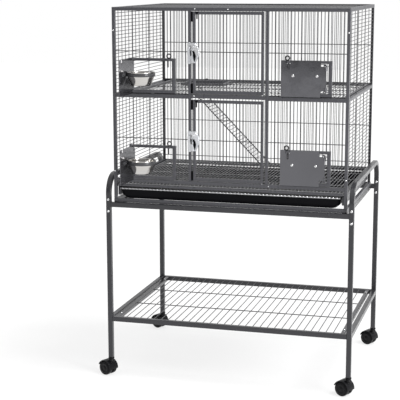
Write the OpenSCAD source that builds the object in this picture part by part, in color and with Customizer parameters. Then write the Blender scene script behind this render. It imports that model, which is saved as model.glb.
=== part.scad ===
// Two-level wire ferret cage on a rolling stand with a lower shelf.
// Cage coordinates used below: x from the cage's middle, y from its front
// face towards the rear, z from the floor. place() then moves everything so
// that the origin is under the middle of the whole footprint.

/* [Cage] */
// Outer width of the cage
cage_w = 813; // [800:1:830]
// Outer depth of the cage
cage_d = 571; // [560:1:585]
// Height of the cage roof above the floor
cage_top = 1297; // [1290:1:1310]
// Depth and height of the front panel's tube
bar = 12; // [11.5:0.1:12.5]
// Face width of the corner posts
corner_w = 11; // [10.5:0.1:11.5]
// Pitch of the wires in the panels
pitch = 12.45; // [12:0.05:13]
// Diameter of the close-set wires
wire_d = 2.2; // [1.9:0.1:2.4]
// Diameter of the cross wires
cross_d = 2.8; // [2.4:0.1:3]

/* [Doors] */
// Half width of each main door
door_hw = 121.3; // [121:0.1:121.6]
// Width of the door stiles
stile = 8.6; // [8.2:0.1:9]
// Wires in each main door
door_wires = 18; // [12:1:20]
// Width of the posts on both sides of the doors
post_w = 9.4; // [9:0.1:9.6]

/* [Feeders] */
// Distance of each feeder hinge from the middle of the cage
hinge_x = 330; // [329:0.5:331]
// Thickness of the feeder plates
plate_t = 1.2; // [1:0.1:1.5]
// Outer radius of the bowl rings
ring_r = 47.5; // [45:0.1:47.5]
// Depth of the bowls
bowl_h = 45; // [40:1:46]
// Sheet thickness of the bowls
bowl_t = 1; // [0.8:0.1:1.2]

/* [Floor and shelf] */
// Wall thickness of the tray
tray_t = 2.4; // [2:0.1:3]
// Left edge of the hole in the shelf
hole_x0 = -278; // [-285:1:-270]
// Right edge of the hole in the shelf
hole_x1 = -130; // [-140:1:-120]
// Slope of the ramp in degrees
ramp_angle = 45.5; // [44:0.5:46]

/* [Stand] */
// Square tube of the legs and arches
leg = 17; // [16:0.5:17.5]
// Distance of each leg's middle from the middle of the cage
leg_x = 424; // [423.5:0.5:426]
// Middle of the front legs
leg_y0 = -5.7; // [-7:0.1:-5]
// Middle of the rear legs
leg_y1 = 602.6; // [600:0.1:606]
// Bend radius of the arches
arch_r = 60; // [55:1:70]
// Height of the lower shelf rails' top
low_top = 217; // [205:1:240]
// Radius of the caster wheels
wheel_r = 25.5; // [25:0.1:26]
// Distance of each wheel pair behind its swivel axis
trail = 17; // [15:0.5:18]
// Direction in which the casters trail
caster_turn = 155.7; // [140:0.1:170]

/* [Hidden] */

g = 0.1;                       // weld-line gap between butted tubes
hw = cage_w / 2;
ib = hw - corner_w;            // inner face of the corner posts
yb = cage_d - 10;              // front face of the back panel
zt = cage_top;
z_mid = zt - 304;              // underside of the mid rails
z_bot = zt - 597;              // underside of the front bottom rail
z_base = zt - 669;             // underside of the cage
base_h = 13;
back_bot = zt - 612;
lift = 296;                    // height between the two levels
cp = 133.0;                    // middle of the door posts
fr_o = 349; fr_i = 337;        // hinge jamb of a feeder opening
fj_o = 183; fj_i = 194.5;      // free jamb of a feeder opening
fz1 = zt - 170; fz0 = zt - 179; // top bar of the upper feeder openings
fb1 = zt - 277; fb0 = zt - 287; // bottom bar of the upper feeder openings
plate_z0 = zt - 289; plate_z1 = zt - 169;
plate_x0 = 180; plate_x1 = 331;
hy = -3.8;                     // feeder hinge axis
py0 = -2.0; py1 = py0 + plate_t;
along = 70;                    // ring middle, from the hinge axis
rc_y = py1 + 0.8 + ring_r;     // ring middle, behind the closed plate
ring_h = 11;
ring_top = zt - 214;
latch_x = 206; latch_y = -5.2;
leg_z0 = 67; joint_z = zt - 685;
arch_top = zt - 571 - leg / 2; // middle of the arches' top rail
stand_z0 = zt - 686; stand_z1 = zt - 669;
sh1 = zt - 288; sh0 = zt - 298; // mid shelf frame
hole_y0 = 418; hole_y1 = 539.5;
ramp_y0 = 425; ramp_y1 = 532;
dx = door_hw - stile / 2;      // main door hinge axis, inside the right stile
dy = (bar - 1) / 2;

// Reach of a turned caster from its leg, and the middle of the footprint
wheel_hw = 21.5;
tip = trail + (wheel_r + 4) * cos(20);
heel = trail - wheel_r - 4;
x_lo = -leg_x + tip * cos(caster_turn) - wheel_hw * sin(caster_turn);
x_hi = leg_x + heel * cos(caster_turn) + wheel_hw * sin(caster_turn);
y_lo = hy - (hinge_x - plate_x0);
y_hi = leg_y1 + tip * sin(caster_turn) - wheel_hw * cos(caster_turn);
ox = -(x_lo + x_hi) / 2;
oy = -(y_lo + y_hi) / 2;

module place() translate([ox, oy, 0]) children();

// Cross-section of a square tube with eased corners
module sec(w, h, c) polygon([[c, 0], [w - c, 0], [w, c], [w, h - c],
  [w - c, h], [c, h], [0, h - c], [0, c]]);

// A bar between two opposite corners, eased along its longest side
module tube(p, q, c = 1.2) {
  d = q - p;
  if (d[0] >= d[1] && d[0] >= d[2])
    translate(p) rotate([90, 0, 90]) linear_extrude(d[0]) sec(d[1], d[2], c);
  else if (d[1] >= d[2])
    translate([p[0], q[1], p[2]]) rotate([90, 0, 0]) linear_extrude(d[1]) sec(d[0], d[2], c);
  else
    translate(p) linear_extrude(d[2]) sec(d[0], d[1], c);
}
module box(p, q) translate(p) cube(q - p);

// Straight wires along one axis, from a to b, drawn as eight-sided rods
module wx(a, b, y, z, d) translate([a, y, z]) rotate([0, 90, 0]) cylinder(d = d, h = b - a, $fn = 8);
module wy(x, a, b, z, d) translate([x, b, z]) rotate([90, 0, 0]) cylinder(d = d, h = b - a, $fn = 8);
module wz(x, y, a, b, d) translate([x, y, a]) cylinder(d = d, h = b - a, $fn = 8);
weld = (wire_d + cross_d) / 2 * 0.78;  // wire axes cross this far apart, so they are welded

// Upright wires xs between z0 and z1 with cross wires at zs, as one welded pane
module pane_x(xs, z0, z1, x0, x1, zs, y, s = 1) union() {
  for (x = xs) wz(x, y, z0 + g, z1 - g, wire_d);
  for (z = zs) wx(x0 + g, x1 - g, y + s * weld, z, cross_d);
}
// Level wires zs running front to rear with uprights at ys
module pane_side(zs, z0, z1, x, s, ys) union() {
  for (z = zs) wy(x, bar + g, yb - g, z, wire_d);
  for (y = ys) wz(x - s * weld, y, z0 + g, z1 - g, cross_d);
}
function run(a, b, p) = let (n = floor((b - a) / p), r = ((b - a) - (n - 1) * p) / 2)
  [for (i = [0 : n - 1]) a + r + i * p];

paint = [0.36, 0.36, 0.385];
paint_dark = [0.30, 0.30, 0.32];
zinc = [0.76, 0.78, 0.80];
steel = [0.80, 0.80, 0.79];
black = [0.07, 0.07, 0.08];
gun = [0.22, 0.22, 0.24];

// ---- Cage panels ----
module hinge_jamb(lv) {
  z0 = fb1 - lv; z1 = fz0 - lv;
  union() {
    tube([fr_i, 0, z0 + g], [fr_o, bar, z1 - g]);
    // lugs with the fixed hinge pins of the feeder door
    box([327, -7, z1 - 10], [fr_i + 2, 4, z1 - 7]);
    translate([hinge_x, hy, z1 - 22]) cylinder(r = 2, h = 13, $fn = 48);
    box([327, -7, z0 + 4], [fr_i + 2, 4, z0 + 7]);
    translate([hinge_x, hy, z0 + 6]) cylinder(r = 2, h = 13, $fn = 48);
  }
}
module feeder_top_bar(lv) difference() {
  union() {
    tube([fj_o, 0, fz0 - lv], [fr_o, bar, fz1 - lv]);
    box([latch_x - 6, -9, fz0 - lv + 0.5], [latch_x + 6, 3, fz1 - lv - 1.5]);
  }
  translate([latch_x, latch_y, fz0 - lv - 1]) cylinder(r = 2.55, h = 12, $fn = 48);
}
module feeder_opening(lv) {
  feeder_top_bar(lv);
  tube([fj_o, 0, fb0 - lv], [fr_o, bar, fb1 - lv]);
  hinge_jamb(lv);
  tube([fj_o, 0, fb1 - lv + g], [fj_i, bar, fz0 - lv - g]);
}
module front_frame() color(paint) {
  for (s = [0, 1]) mirror([s, 0, 0]) {
    tube([ib, 0, z_base + base_h + g], [hw, bar, zt]);
    tube([cp - post_w / 2, 0, z_bot + bar + g], [cp + post_w / 2, bar, zt - bar - g]);
    tube([cp + post_w / 2 + g, 0, z_mid], [ib - g, bar, z_mid + 13]);
    feeder_opening(0);
    feeder_opening(lift);
  }
  tube([-ib + g, 0, zt - bar], [ib - g, bar, zt]);
  tube([-cp + post_w / 2 + g, 0, z_mid + 2.5], [cp - post_w / 2 - g, bar, z_mid + 15]);
  tube([-ib + g, 0, z_bot], [ib - g, bar, z_bot + bar]);
}
module back_frame() color(paint_dark) {
  for (s = [0, 1]) mirror([s, 0, 0])
    tube([ib, yb, z_base + base_h + g], [hw - 1.5, cage_d, zt]);
  tube([-ib + g, yb, zt - bar], [ib - g, cage_d, zt]);
  tube([-ib + g, yb, z_mid + 6], [ib - g, cage_d, z_mid + 18]);
  tube([-ib + g, yb, back_bot], [ib - g, cage_d, back_bot + bar]);
}
module side_frame() color(paint) {
  tube([ib, bar + g, zt - bar], [hw, yb - g, zt]);
  tube([ib, bar + g, z_mid + 1], [hw, yb - g, z_mid + 13]);
  tube([ib, bar + g, back_bot], [hw, yb - g, back_bot + bar]);
}
module base_frame() color(paint) {
  z1 = z_base + base_h;
  tube([-hw, 0, z_base], [hw, bar, z1]);
  tube([-hw, yb, z_base], [hw, cage_d, z1]);
  for (s = [0, 1]) mirror([s, 0, 0]) {
    tube([ib, bar + g, z_base], [hw, yb - g, z1]);
    // runner: the tray's rim rests on its lower part and the grate on its upper edge
    union() {
      box([386.6, 14, zt - 646], [ib - g, yb - 2, zt - 618.2]);
      box([391, 14, zt - 619], [ib - g, yb - 2, zt - 613.2]);
      box([385, 14, zt - 615.6], [ib - g, yb - 2, zt - 613.2]);
    }
  }
}

// ---- Wire panes ----
fx = run(cp + post_w / 2, ib, pitch);   // uprights of a front bay
module front_wires() color(paint) for (s = [0, 1]) mirror([s, 0, 0])
  for (lv = [0, lift]) {
    za = lv == 0 ? z_mid + 13 : z_bot + bar;
    zb = lv == 0 ? zt - bar : z_mid;
    zc = zt - 147 - lv;
    pane_x([for (x = fx) if (x < fj_o - 2) x], za, zb, cp + post_w / 2, fj_o, [zc], 5);
    pane_x([for (x = fx) if (x > fr_o + 2) x], za, zb, fr_o, ib, [zc], 5);
    pane_x([for (x = fx) if (x >= fj_o - 2 && x <= fr_o + 2) min(max(x, fj_o + 1.5), fr_o - 1.5)],
      fz1 - lv, zb, fj_o, fr_o, [zc], 5);
  }
module back_wires() color(paint_dark) {
  xs = run(-ib, ib, pitch);
  pane_x(xs, z_mid + 18, zt - bar, -ib, ib, [zt - 147], yb + 5, -1);
  pane_x(xs, back_bot + bar, z_mid + 6, -ib, ib, [zt - 443, zt - 582], yb + 5, -1);
}
module side_wires(s) color(paint) {
  x = s * (hw - 5);
  ys = [cage_d * 0.345, cage_d * 0.665];
  pane_side(run(z_mid + 13, zt - bar, pitch), z_mid + 13, zt - bar, x, s, ys);
  pane_side(run(back_bot + bar, z_mid + 1, pitch), back_bot + bar, z_mid + 1, x, s, ys);
}
module roof_wires() color(paint) union() {
  for (x = run(-ib, ib, pitch)) wy(x, bar + g, yb - g, zt - 4, wire_d);
  for (y = [cage_d / 3, cage_d * 2 / 3]) wx(-ib + g, ib - g, y, zt - 4 - weld, cross_d);
}

// ---- Main doors ----
// Each door turns on two short pins in the rails above and below its right stile.
// A bumper strip closes the gap beside its left stile near each end.
pin_in = 10;                   // reach of a pin in the stile
module door_frame(z0, z1) color(paint) {
  union() {
    tube([-door_hw, 0, z0], [-door_hw + stile, bar - 1, z1]);
    for (z = [z0, z1 - 34]) box([-door_hw - 6.6, -0.6, z], [-door_hw + 0.6, 8, z + 34]);
  }
  difference() {
    tube([door_hw - stile, 0, z0], [door_hw, bar - 1, z1]);
    for (z = [z0 - 1, z1 - pin_in - 1]) translate([dx, dy, z]) cylinder(r = 2.06, h = pin_in + 2, $fn = 48);
  }
  tube([-door_hw + stile + g, 0, z1 - 10], [door_hw - stile - g, bar - 1, z1]);
  tube([-door_hw + stile + g, 0, z0], [door_hw - stile - g, bar - 1, z0 + 11]);
}
module door_pane(z0, z1, zc) color(paint) {
  i = door_hw - stile; p = 2 * i / (door_wires + 1);
  pane_x([for (k = [1 : door_wires]) -i + k * p], z0 + 11, z1 - 10, -i, i, [zc], 5);
}
ud0 = zt - 286; ud1 = zt - 13.2;
ld0 = zt - 583; ld1 = zt - 307;
// A pin with its collar in the gap between a rail and a door end
module door_pin(z_rail, z_end) translate([dx, dy, 0]) union() {
  s = sign(z_end - z_rail); c = z_end - s * 0.2; e = z_end + s * pin_in;
  translate([0, 0, min(z_rail, e)]) cylinder(r = 2, h = abs(e - z_rail), $fn = 48);
  translate([0, 0, min(z_rail, c)]) cylinder(r = 3.4, h = abs(c - z_rail), $fn = 48);
}
module door_hinges() color(paint_dark) {
  door_pin(zt - bar, ud1);
  door_pin(z_mid + 15, ud0);
  door_pin(z_mid + 2.5, ld1);
  door_pin(z_bot + bar, ld0);
}

// ---- Main door latches ----
// Outline points are x and height below the roof for the upper latch
pv = [-112, -127];             // pivot of the lever
module slab(pts, y0, y1, lv) translate([0, y1, zt - lv]) rotate([90, 0, 0])
  linear_extrude(y1 - y0) polygon(pts);
module latch_keepers() color(zinc) for (lv = [0, 297]) union() {
  slab([[-138.6, -187], [-127.4, -187], [-127.4, -115], [-138.6, -115]], -3, -g, lv);
  slab([[-137, -154], [-129, -154], [-129, -139], [-137, -139]], -9.5, -2, lv);
  slab([[-137, -154], [-129, -154], [-129, -130.5], [-137, -130.5]], -11.4, -9.4, lv);
}
module latch_body(lv) color(zinc) difference() {
  union() {
    slab([[-125.2, -116], [-106, -116], [-106, -150], [-109, -184], [-125.2, -184]], -4, -g, lv);
    slab([[-125.2, -141], [-121.6, -141], [-119, -168], [-113, -184], [-125.2, -184]], -9, -3, lv);
  }
  translate([pv[0], 1, zt - lv + pv[1]]) rotate([90, 0, 0]) cylinder(r = 3.06, h = 12, $fn = 48);
}
module latch_lever(lv) color(zinc) union() {
  slab([[-137.5, -118], [-122, -116.5], [-110, -117.5], [-101, -126], [-96, -140], [-95.5, -156],
    [-101, -167], [-108, -179], [-110.5, -174], [-108, -160], [-110, -148], [-115.5, -139],
    [-122, -134.5], [-124.5, -125.5], [-137.5, -125.5]], -8.6, -4.5, lv);
  translate([pv[0], -0.4, zt - lv + pv[1]]) rotate([90, 0, 0]) cylinder(r = 3, h = 6, $fn = 48);
  translate([pv[0], -8, zt - lv + pv[1]]) rotate([90, 0, 0]) cylinder(r = 5, h = 2.2, $fn = 48);
}

// ---- Feeder doors, drawn closed for the right-hand side ----
module feeder_plate(lv) color(paint) difference() {
  union() {
    box([plate_x0, py0, plate_z0 - lv], [plate_x1, py1, plate_z1 - lv]);
    for (z = [fz0 - 22, fb1 + 8.5]) {
      translate([hinge_x, hy, z - lv]) cylinder(r = 3.2, h = 11.5, $fn = 48);
      box([plate_x1 - 4, py0, z - lv], [hinge_x, py1, z - lv + 11.5]);
    }
  }
  for (z = [fz0 - 23, fb1 + 5]) translate([hinge_x, hy, z - lv]) cylinder(r = 2.06, h = 16, $fn = 48);
  // room for the guide of the latch rod
  box([latch_x - 7.2, py0 - 1, fz0 - lv - 0.6], [latch_x + 7.2, py1 + 1, plate_z1 - lv + 1]);
  // corners cut clear of the bars at the hinge side, and a slot below and above them
  box([312, py0 - 1, fz0 - lv - 1], [plate_x1 + 1, py1 + 1, plate_z1 - lv + 1]);
  box([312, py0 - 1, plate_z0 - lv - 1], [plate_x1 + 1, py1 + 1, fb1 - lv + 1.4]);
  box([312, py0 - 1, fz0 - lv - 9], [321.5, py1 + 1, fz0 - lv - 3.4]);
  box([312, py0 - 1, fb1 - lv + 3.6], [321.5, py1 + 1, fb1 - lv + 9.2]);
  for (z = [fz0 - 10.5, fb1 + 3.4]) box([325.4, py0 - 1, z - lv], [plate_x1 + 1, py1 + 1, z - lv + 4.1]);
  for (x = [hinge_x - along - 40, hinge_x - along + 40])
    translate([x, 2, ring_top - ring_h / 2 - lv]) rotate([90, 0, 0]) cylinder(r = 2.6, h = 6, $fn = 48);
}
module bowl_ring(lv) color(gun) union() {
  c = [hinge_x - along, rc_y, ring_top - ring_h - lv];
  difference() {
    union() {
      translate(c) cylinder(r = ring_r, h = ring_h, $fn = 96);
      box([c[0] - 50, py1 + 0.05, c[2]], [c[0] + 50, py1 + 2.2, c[2] + ring_h]);
    }
    translate([c[0], c[1], c[2] - 1]) cylinder(r = ring_r - 1.5, h = ring_h + 2, $fn = 96);
  }
  // riveted studs, their heads on the outside of the plate
  for (x = [c[0] - 40, c[0] + 40]) {
    translate([x, py1 + 1, c[2] + ring_h / 2]) rotate([90, 0, 0]) cylinder(r = 2.4, h = plate_t + 2.2, $fn = 32);
    translate([x, py0 - 0.05, c[2] + ring_h / 2]) rotate([90, 0, 0]) cylinder(r = 4.6, h = 1.8, $fn = 32);
  }
}
module bowl(lv) color(steel) translate([hinge_x - along, rc_y, ring_top - lv + 0.15])
  rotate_extrude($fn = 96) polygon([
    [0, 3 - bowl_h], [29, 3 - bowl_h], [33, 5.5 - bowl_h], [36, 11 - bowl_h],
    [ring_r - 2.4, -ring_h - 6], [ring_r - 2, 0], [ring_r + 0.5, 0], [ring_r + 0.5, 3],
    [ring_r - 2 - bowl_t, 3], [ring_r - 2.4 - bowl_t, -ring_h - 6],
    [36 - bowl_t, 11.5 - bowl_h], [32.5 - bowl_t, 6.3 - bowl_h], [28.5, 3 + bowl_t - bowl_h],
    [0, 3 + bowl_t - bowl_h]]);
module feeder_latch(lv) color(gun) translate([latch_x, latch_y, -lv]) union() {
  translate([0, 0, zt - 200]) cylinder(r = 2.5, h = 32, $fn = 48);
  translate([-3.5, 0, zt - 161.9]) rotate([90, 0, 0]) rotate_extrude($fn = 48)
    translate([7.0, 0]) circle(r = 2.3, $fn = 24);
}
// Left-hand feeder doors rest open: mirrored, then swung out by a quarter turn
module open_left() translate([-hinge_x, hy, 0]) rotate([0, 0, -90]) translate([hinge_x, -hy, 0])
  mirror([1, 0, 0]) children();
module left() mirror([1, 0, 0]) children();

// ---- Mid shelf and ramp ----
shx0 = -364; shx1 = 392; shy0 = 14; shy1 = 557;
bx = run(-ib, ib, pitch);      // uprights of the back panel
module shelf_frame() color(paint) {
  union() {
    tube([shx0, shy0, sh0], [shx1, shy0 + 10, sh1]);
    // tabs that lie on the front rail
    for (x = [-266, 266]) box([x - 6, 3, zt - 290.9], [x + 6, shy0 + 2, zt - 288.6]);
  }
  union() {
    tube([shx0, shy1 - 10, sh0], [shx1, shy1, sh1]);
    // tabs that hook over the back rail between two wires
    for (i = [12, len(bx) - 14]) {
      x = (bx[i] + bx[i + 1]) / 2;
      box([x - 3, shy1 - 4, zt - 289], [x + 3, shy1 - 0.5, zt - 283.4]);
      box([x - 3, shy1 - 4, zt - 285.8], [x + 3, cage_d - 1, zt - 283.4]);
      box([x - 3, cage_d + 0.2, zt - 289], [x + 3, cage_d + 2.6, zt - 283.4]);
      box([x - 3, cage_d - 2, zt - 285.8], [x + 3, cage_d + 2.6, zt - 283.4]);
    }
  }
  tube([shx0, shy0 + 10 + g, sh0], [shx0 + 10, shy1 - 10 - g, sh1]);
  tube([shx1 - 10, shy0 + 10 + g, sh0], [shx1, shy1 - 10 - g, sh1]);
  // rim of the hole over the ramp
  tube([hole_x0 - 8, hole_y0 - 8, sh0], [hole_x1 + 8, hole_y0, sh1]);
  tube([hole_x0 - 8, hole_y1, sh0 - 4], [hole_x1 + 8, shy1 - 10 - g, sh1 - 1]);
  tube([hole_x0 - 8, hole_y0 + g, sh0], [hole_x0, hole_y1 - g, sh1]);
  tube([hole_x1, hole_y0 + g, sh0], [hole_x1 + 8, hole_y1 - g, sh1]);
}
shz = sh1 - 2;
shelf_xs = run(shx0 + 10, shx1 - 10, pitch);
module field(x0, x1, y0, y1, ys) union() {
  for (x = shelf_xs) if (x > x0 + 1.6 && x < x1 - 1.6) wy(x, y0 + g, y1 - g, shz, wire_d);
  for (y = ys) wx(x0 + g, x1 - g, y, shz - weld, cross_d);
}
// Front field of the shelf, then the fields left and right of the hole
module shelf_wires() color(paint) {
  field(shx0 + 10, shx1 - 10, shy0 + 10, hole_y0 - 8 - g, [150, 290]);
  field(shx0 + 10, hole_x0 - 8 - g, hole_y0 - 8, shy1 - 10, [hole_y0 + 5, 535]);
  field(hole_x1 + 8 + g, shx1 - 10, hole_y0 - 8, shy1 - 10, [hole_y0 + 5, 535]);
}
ramp_top = [hole_x0 + 6, sh1 - 2];
ramp_len = (sh1 - 2 - (zt - 597.4)) / sin(ramp_angle);
module ramp() color(paint)
  translate([ramp_top[0], 0, ramp_top[1]]) rotate([0, ramp_angle, 0]) union() {
    for (y = [ramp_y0, ramp_y1]) wx(0, ramp_len, y, 0, 4);
    // pivot rod across its top
    translate([0, ramp_y1 + 2, 0]) rotate([90, 0, 0]) cylinder(r = 2, h = ramp_y1 - ramp_y0 + 4, $fn = 48);
    for (x = run(0, ramp_len, 13)) wy(x, ramp_y0 - 1, ramp_y1 + 1, 2.3, wire_d + 0.2);
  }

// ---- Grate and tray ----
gz0 = zt - 613; gz1 = zt - 605;
gx = 392.2; gy0 = 1.5; gy1 = 555;
module grate_frame() color(paint) {
  tube([-gx, gy0, gz0], [gx, gy0 + 8, gz1], 0.8);
  tube([-gx, gy1 - 8, gz0], [gx, gy1, gz1], 0.8);
  for (s = [0, 1]) mirror([s, 0, 0])
    tube([gx - 8, gy0 + 8 + g, gz0], [gx, gy1 - 8 - g, gz1], 0.8);
}
module grate_wires() color(paint) union() {
  z = gz1 + wire_d / 2 + 2.6;
  for (x = run(-gx + 4, gx - 4, pitch)) wy(x, gy0 + 2, gy1 - 2, z, 2.4);
  for (y = [gy0 + 4, 145, 280, 415, gy1 - 4]) wx(-gx + 3, gx - 3, y, z - 2.0, 2.8);
}
module tray() color(black) difference() {
  union() {
    hull() {
      box([-384, 4, zt - 619], [384, 552, zt - 617]);
      box([-382, 4.5, zt - 643], [382, 551, zt - 642]);
      box([-368, 9, zt - 655.4], [368, 544, zt - 654]);
    }
    box([-389, 1, zt - 618], [389, 554, zt - 616]);
    // rolled front lip
    box([-384, 1, zt - 624], [384, 5, zt - 616]);
  }
  hull() {
    box([-384 + tray_t, 4 + tray_t, zt - 617], [384 - tray_t, 552 - tray_t, zt - 615]);
    box([-382 + tray_t, 4.5 + tray_t, zt - 643], [382 - tray_t, 551 - tray_t, zt - 642]);
    box([-368 + tray_t, 9 + tray_t, zt - 655.4 + tray_t], [368 - tray_t, 544 - tray_t, zt - 652]);
  }
}

// ---- Stand ----
module leg_tube(x, y) color(paint) difference() {
  tube([x - leg / 2, y - leg / 2, leg_z0], [x + leg / 2, y + leg / 2, joint_z - g]);
  translate([x, y, leg_z0 - 1]) cylinder(r = 5.05, h = 32, $fn = 48);
}
module bend(y, a) translate([0, y, arch_top - arch_r]) rotate([0, -90, 0]) rotate([0, 0, a])
  rotate_extrude(angle = 90, $fn = 96) translate([arch_r - leg / 2, -leg / 2]) sec(leg, leg, 1.2);
module arch(x) color(paint) translate([x, 0, 0]) union() {
  tube([-leg / 2, leg_y0 - leg / 2, joint_z], [leg / 2, leg_y0 + leg / 2, arch_top - arch_r]);
  tube([-leg / 2, leg_y1 - leg / 2, joint_z], [leg / 2, leg_y1 + leg / 2, arch_top - arch_r]);
  tube([-leg / 2, leg_y0 + arch_r, arch_top - leg / 2], [leg / 2, leg_y1 - arch_r, arch_top + leg / 2]);
  bend(leg_y0 + arch_r, -90);
  bend(leg_y1 - arch_r, 0);
}
module stand_rails() color(paint) {
  for (y = [leg_y0, leg_y1])
    tube([-leg_x + leg / 2 + g, y - leg / 2, stand_z0], [leg_x - leg / 2 - g, y + leg / 2, stand_z1]);
  // side rails that carry the cage
  for (s = [0, 1]) mirror([s, 0, 0])
    tube([hw - leg, leg_y0 + leg / 2 + g, stand_z0], [hw, leg_y1 - leg / 2 - g, stand_z1]);
}
module low_shelf_frame() color(paint) {
  for (y = [leg_y0, leg_y1])
    tube([-leg_x + leg / 2 + g, y - leg / 2, low_top - leg], [leg_x - leg / 2 - g, y + leg / 2, low_top]);
  for (s = [0, 1]) mirror([s, 0, 0]) {
    tube([leg_x - leg / 2, leg_y0 + leg / 2 + g, low_top - leg], [leg_x + leg / 2, leg_y1 - leg / 2 - g, low_top], 2);
    tube([leg_x - 31, leg_y0 + leg / 2 + g, low_top - 14], [leg_x - 17, leg_y1 - leg / 2 - g, low_top - 1]);
  }
}
module low_shelf_wires() color(paint) union() {
  x1 = leg_x - 31 - g;
  for (x = run(-x1, x1, 25.4)) wy(x, leg_y0 + leg / 2 + g, leg_y1 - leg / 2 - g, low_top - 2.2, 2.8);
  for (y = [leg_y0 + 205, leg_y0 + 405]) wx(-x1, x1, y, low_top - 4.6, 3.2);
}
// Domed screw head facing the front, with a short shank in the tube
module screw_y(x, y, z, r) translate([x, y, z]) rotate([90, 0, 0]) union() {
  cylinder(r = r, h = r * 0.3, $fn = 32);
  translate([0, 0, r * 0.3 - 0.01]) cylinder(r1 = r * 0.92, r2 = r * 0.45, h = r * 0.28, $fn = 32);
}
module bolts() color(zinc) {
  for (x = [-leg_x, leg_x], y = [leg_y0 - leg / 2, leg_y1 - leg / 2], z = [zt - 660, zt - 701])
    screw_y(x, y - 0.02, z, 4.6);
  for (x = [-hw + 5, hw - 5], z = [zt - 78, zt - 560]) screw_y(x, -0.02, z, 2.9);
  for (x = [-leg_x + 24, leg_x - 24], y = [42, leg_y1 - 48])
    translate([x, y, low_top - 0.98]) cylinder(r = 3.2, h = 4, $fn = 32);
}

// ---- Casters: trail along +x, axle along y, then turned about the leg ----
module at_leg(i) translate([[-leg_x, leg_x, -leg_x, leg_x][i], [leg_y0, leg_y0, leg_y1, leg_y1][i], 0])
  rotate([0, 0, caster_turn]) children();
module hood() color(black) difference() {
  union() {
    translate([0, 0, 48]) cylinder(r = 5, h = leg_z0 - 19, $fn = 48);
    translate([0, 0, wheel_r + 26]) cylinder(r = 11, h = leg_z0 - 0.4 - wheel_r - 26, $fn = 48);
    // hub disc between the wheels
    translate([trail, 4, wheel_r]) rotate([90, 0, 0]) cylinder(r = 21, h = 8, $fn = 64);
    // web and fender over both wheels, turned through a T-shaped outline
    translate([trail, 0, wheel_r]) rotate([90, 0, 0]) rotate([0, 0, 20]) rotate_extrude(angle = 165, $fn = 96)
      polygon([[10, -4.2], [wheel_r + 1, -4.2], [wheel_r + 1, -wheel_hw], [wheel_r + 4, -wheel_hw],
        [wheel_r + 4, wheel_hw], [wheel_r + 1, wheel_hw], [wheel_r + 1, 4.2], [10, 4.2]]);
  }
  translate([trail, 20, wheel_r]) rotate([90, 0, 0]) cylinder(r = 3.06, h = 40, $fn = 48);
}
module wheels() color(black) translate([trail, 0, wheel_r]) rotate([90, 0, 0]) union() {
  translate([0, 0, -wheel_hw + 2]) cylinder(r = 3, h = 2 * wheel_hw - 4, $fn = 48);
  for (s = [0, 1]) mirror([0, 0, s]) rotate_extrude($fn = 96)
    polygon([[0, 5], [wheel_r - 1.5, 5], [wheel_r, 6.5], [wheel_r, wheel_hw - 4.5], [wheel_r - 2, wheel_hw - 1.5],
      [wheel_r - 5, wheel_hw], [14, wheel_hw], [12, wheel_hw - 1.5], [0, wheel_hw - 1.5]]);
}

place() front_frame();
place() back_frame();
place() left() side_frame();  // left_frame
place() side_frame();  // right_frame
place() base_frame();
place() front_wires();
place() back_wires();
place() side_wires(-1);  // left_wires
place() side_wires(1);  // right_wires
place() roof_wires();
place() door_frame(ud0, ud1);  // upper_door_frame
place() door_pane(ud0, ud1, zt - 147);  // upper_door_wires
place() door_frame(ld0, ld1);  // lower_door_frame
place() door_pane(ld0, ld1, zt - 444);  // lower_door_wires
place() door_hinges();
place() latch_keepers();
place() latch_body(0);  // upper_latch_body
place() latch_lever(0);  // upper_latch_lever
place() latch_body(297);  // lower_latch_body
place() latch_lever(297);  // lower_latch_lever
place() open_left() feeder_plate(0);  // feeder_door_ul
place() open_left() feeder_plate(lift);  // feeder_door_ll
place() feeder_plate(0);  // feeder_door_ur
place() feeder_plate(lift);  // feeder_door_lr
place() open_left() bowl_ring(0);  // bowl_ring_ul
place() open_left() bowl_ring(lift);  // bowl_ring_ll
place() bowl_ring(0);  // bowl_ring_ur
place() bowl_ring(lift);  // bowl_ring_lr
place() open_left() bowl(0);  // bowl_ul
place() open_left() bowl(lift);  // bowl_ll
place() bowl(0);  // bowl_ur
place() bowl(lift);  // bowl_lr
place() left() feeder_latch(0);  // feeder_latch_ul
place() left() feeder_latch(lift);  // feeder_latch_ll
place() feeder_latch(0);  // feeder_latch_ur
place() feeder_latch(lift);  // feeder_latch_lr
place() shelf_frame();
place() shelf_wires();
place() ramp();
place() grate_frame();
place() grate_wires();
place() tray();
place() leg_tube(-leg_x, leg_y0);  // leg_fl
place() leg_tube(leg_x, leg_y0);  // leg_fr
place() leg_tube(-leg_x, leg_y1);  // leg_rl
place() leg_tube(leg_x, leg_y1);  // leg_rr
place() arch(-leg_x);  // left_arch
place() arch(leg_x);  // right_arch
place() stand_rails();
place() low_shelf_frame();
place() low_shelf_wires();
place() bolts();
place() at_leg(0) hood();  // caster_hood_fl
place() at_leg(1) hood();  // caster_hood_fr
place() at_leg(2) hood();  // caster_hood_rl
place() at_leg(3) hood();  // caster_hood_rr
place() at_leg(0) wheels();  // caster_wheels_fl
place() at_leg(1) wheels();  // caster_wheels_fr
place() at_leg(2) wheels();  // caster_wheels_rl
place() at_leg(3) wheels();  // caster_wheels_rr
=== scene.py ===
import math
import random

import bpy
import numpy as np
from mathutils import Matrix, Vector
from mathutils.geometry import tessellate_polygon


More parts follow.
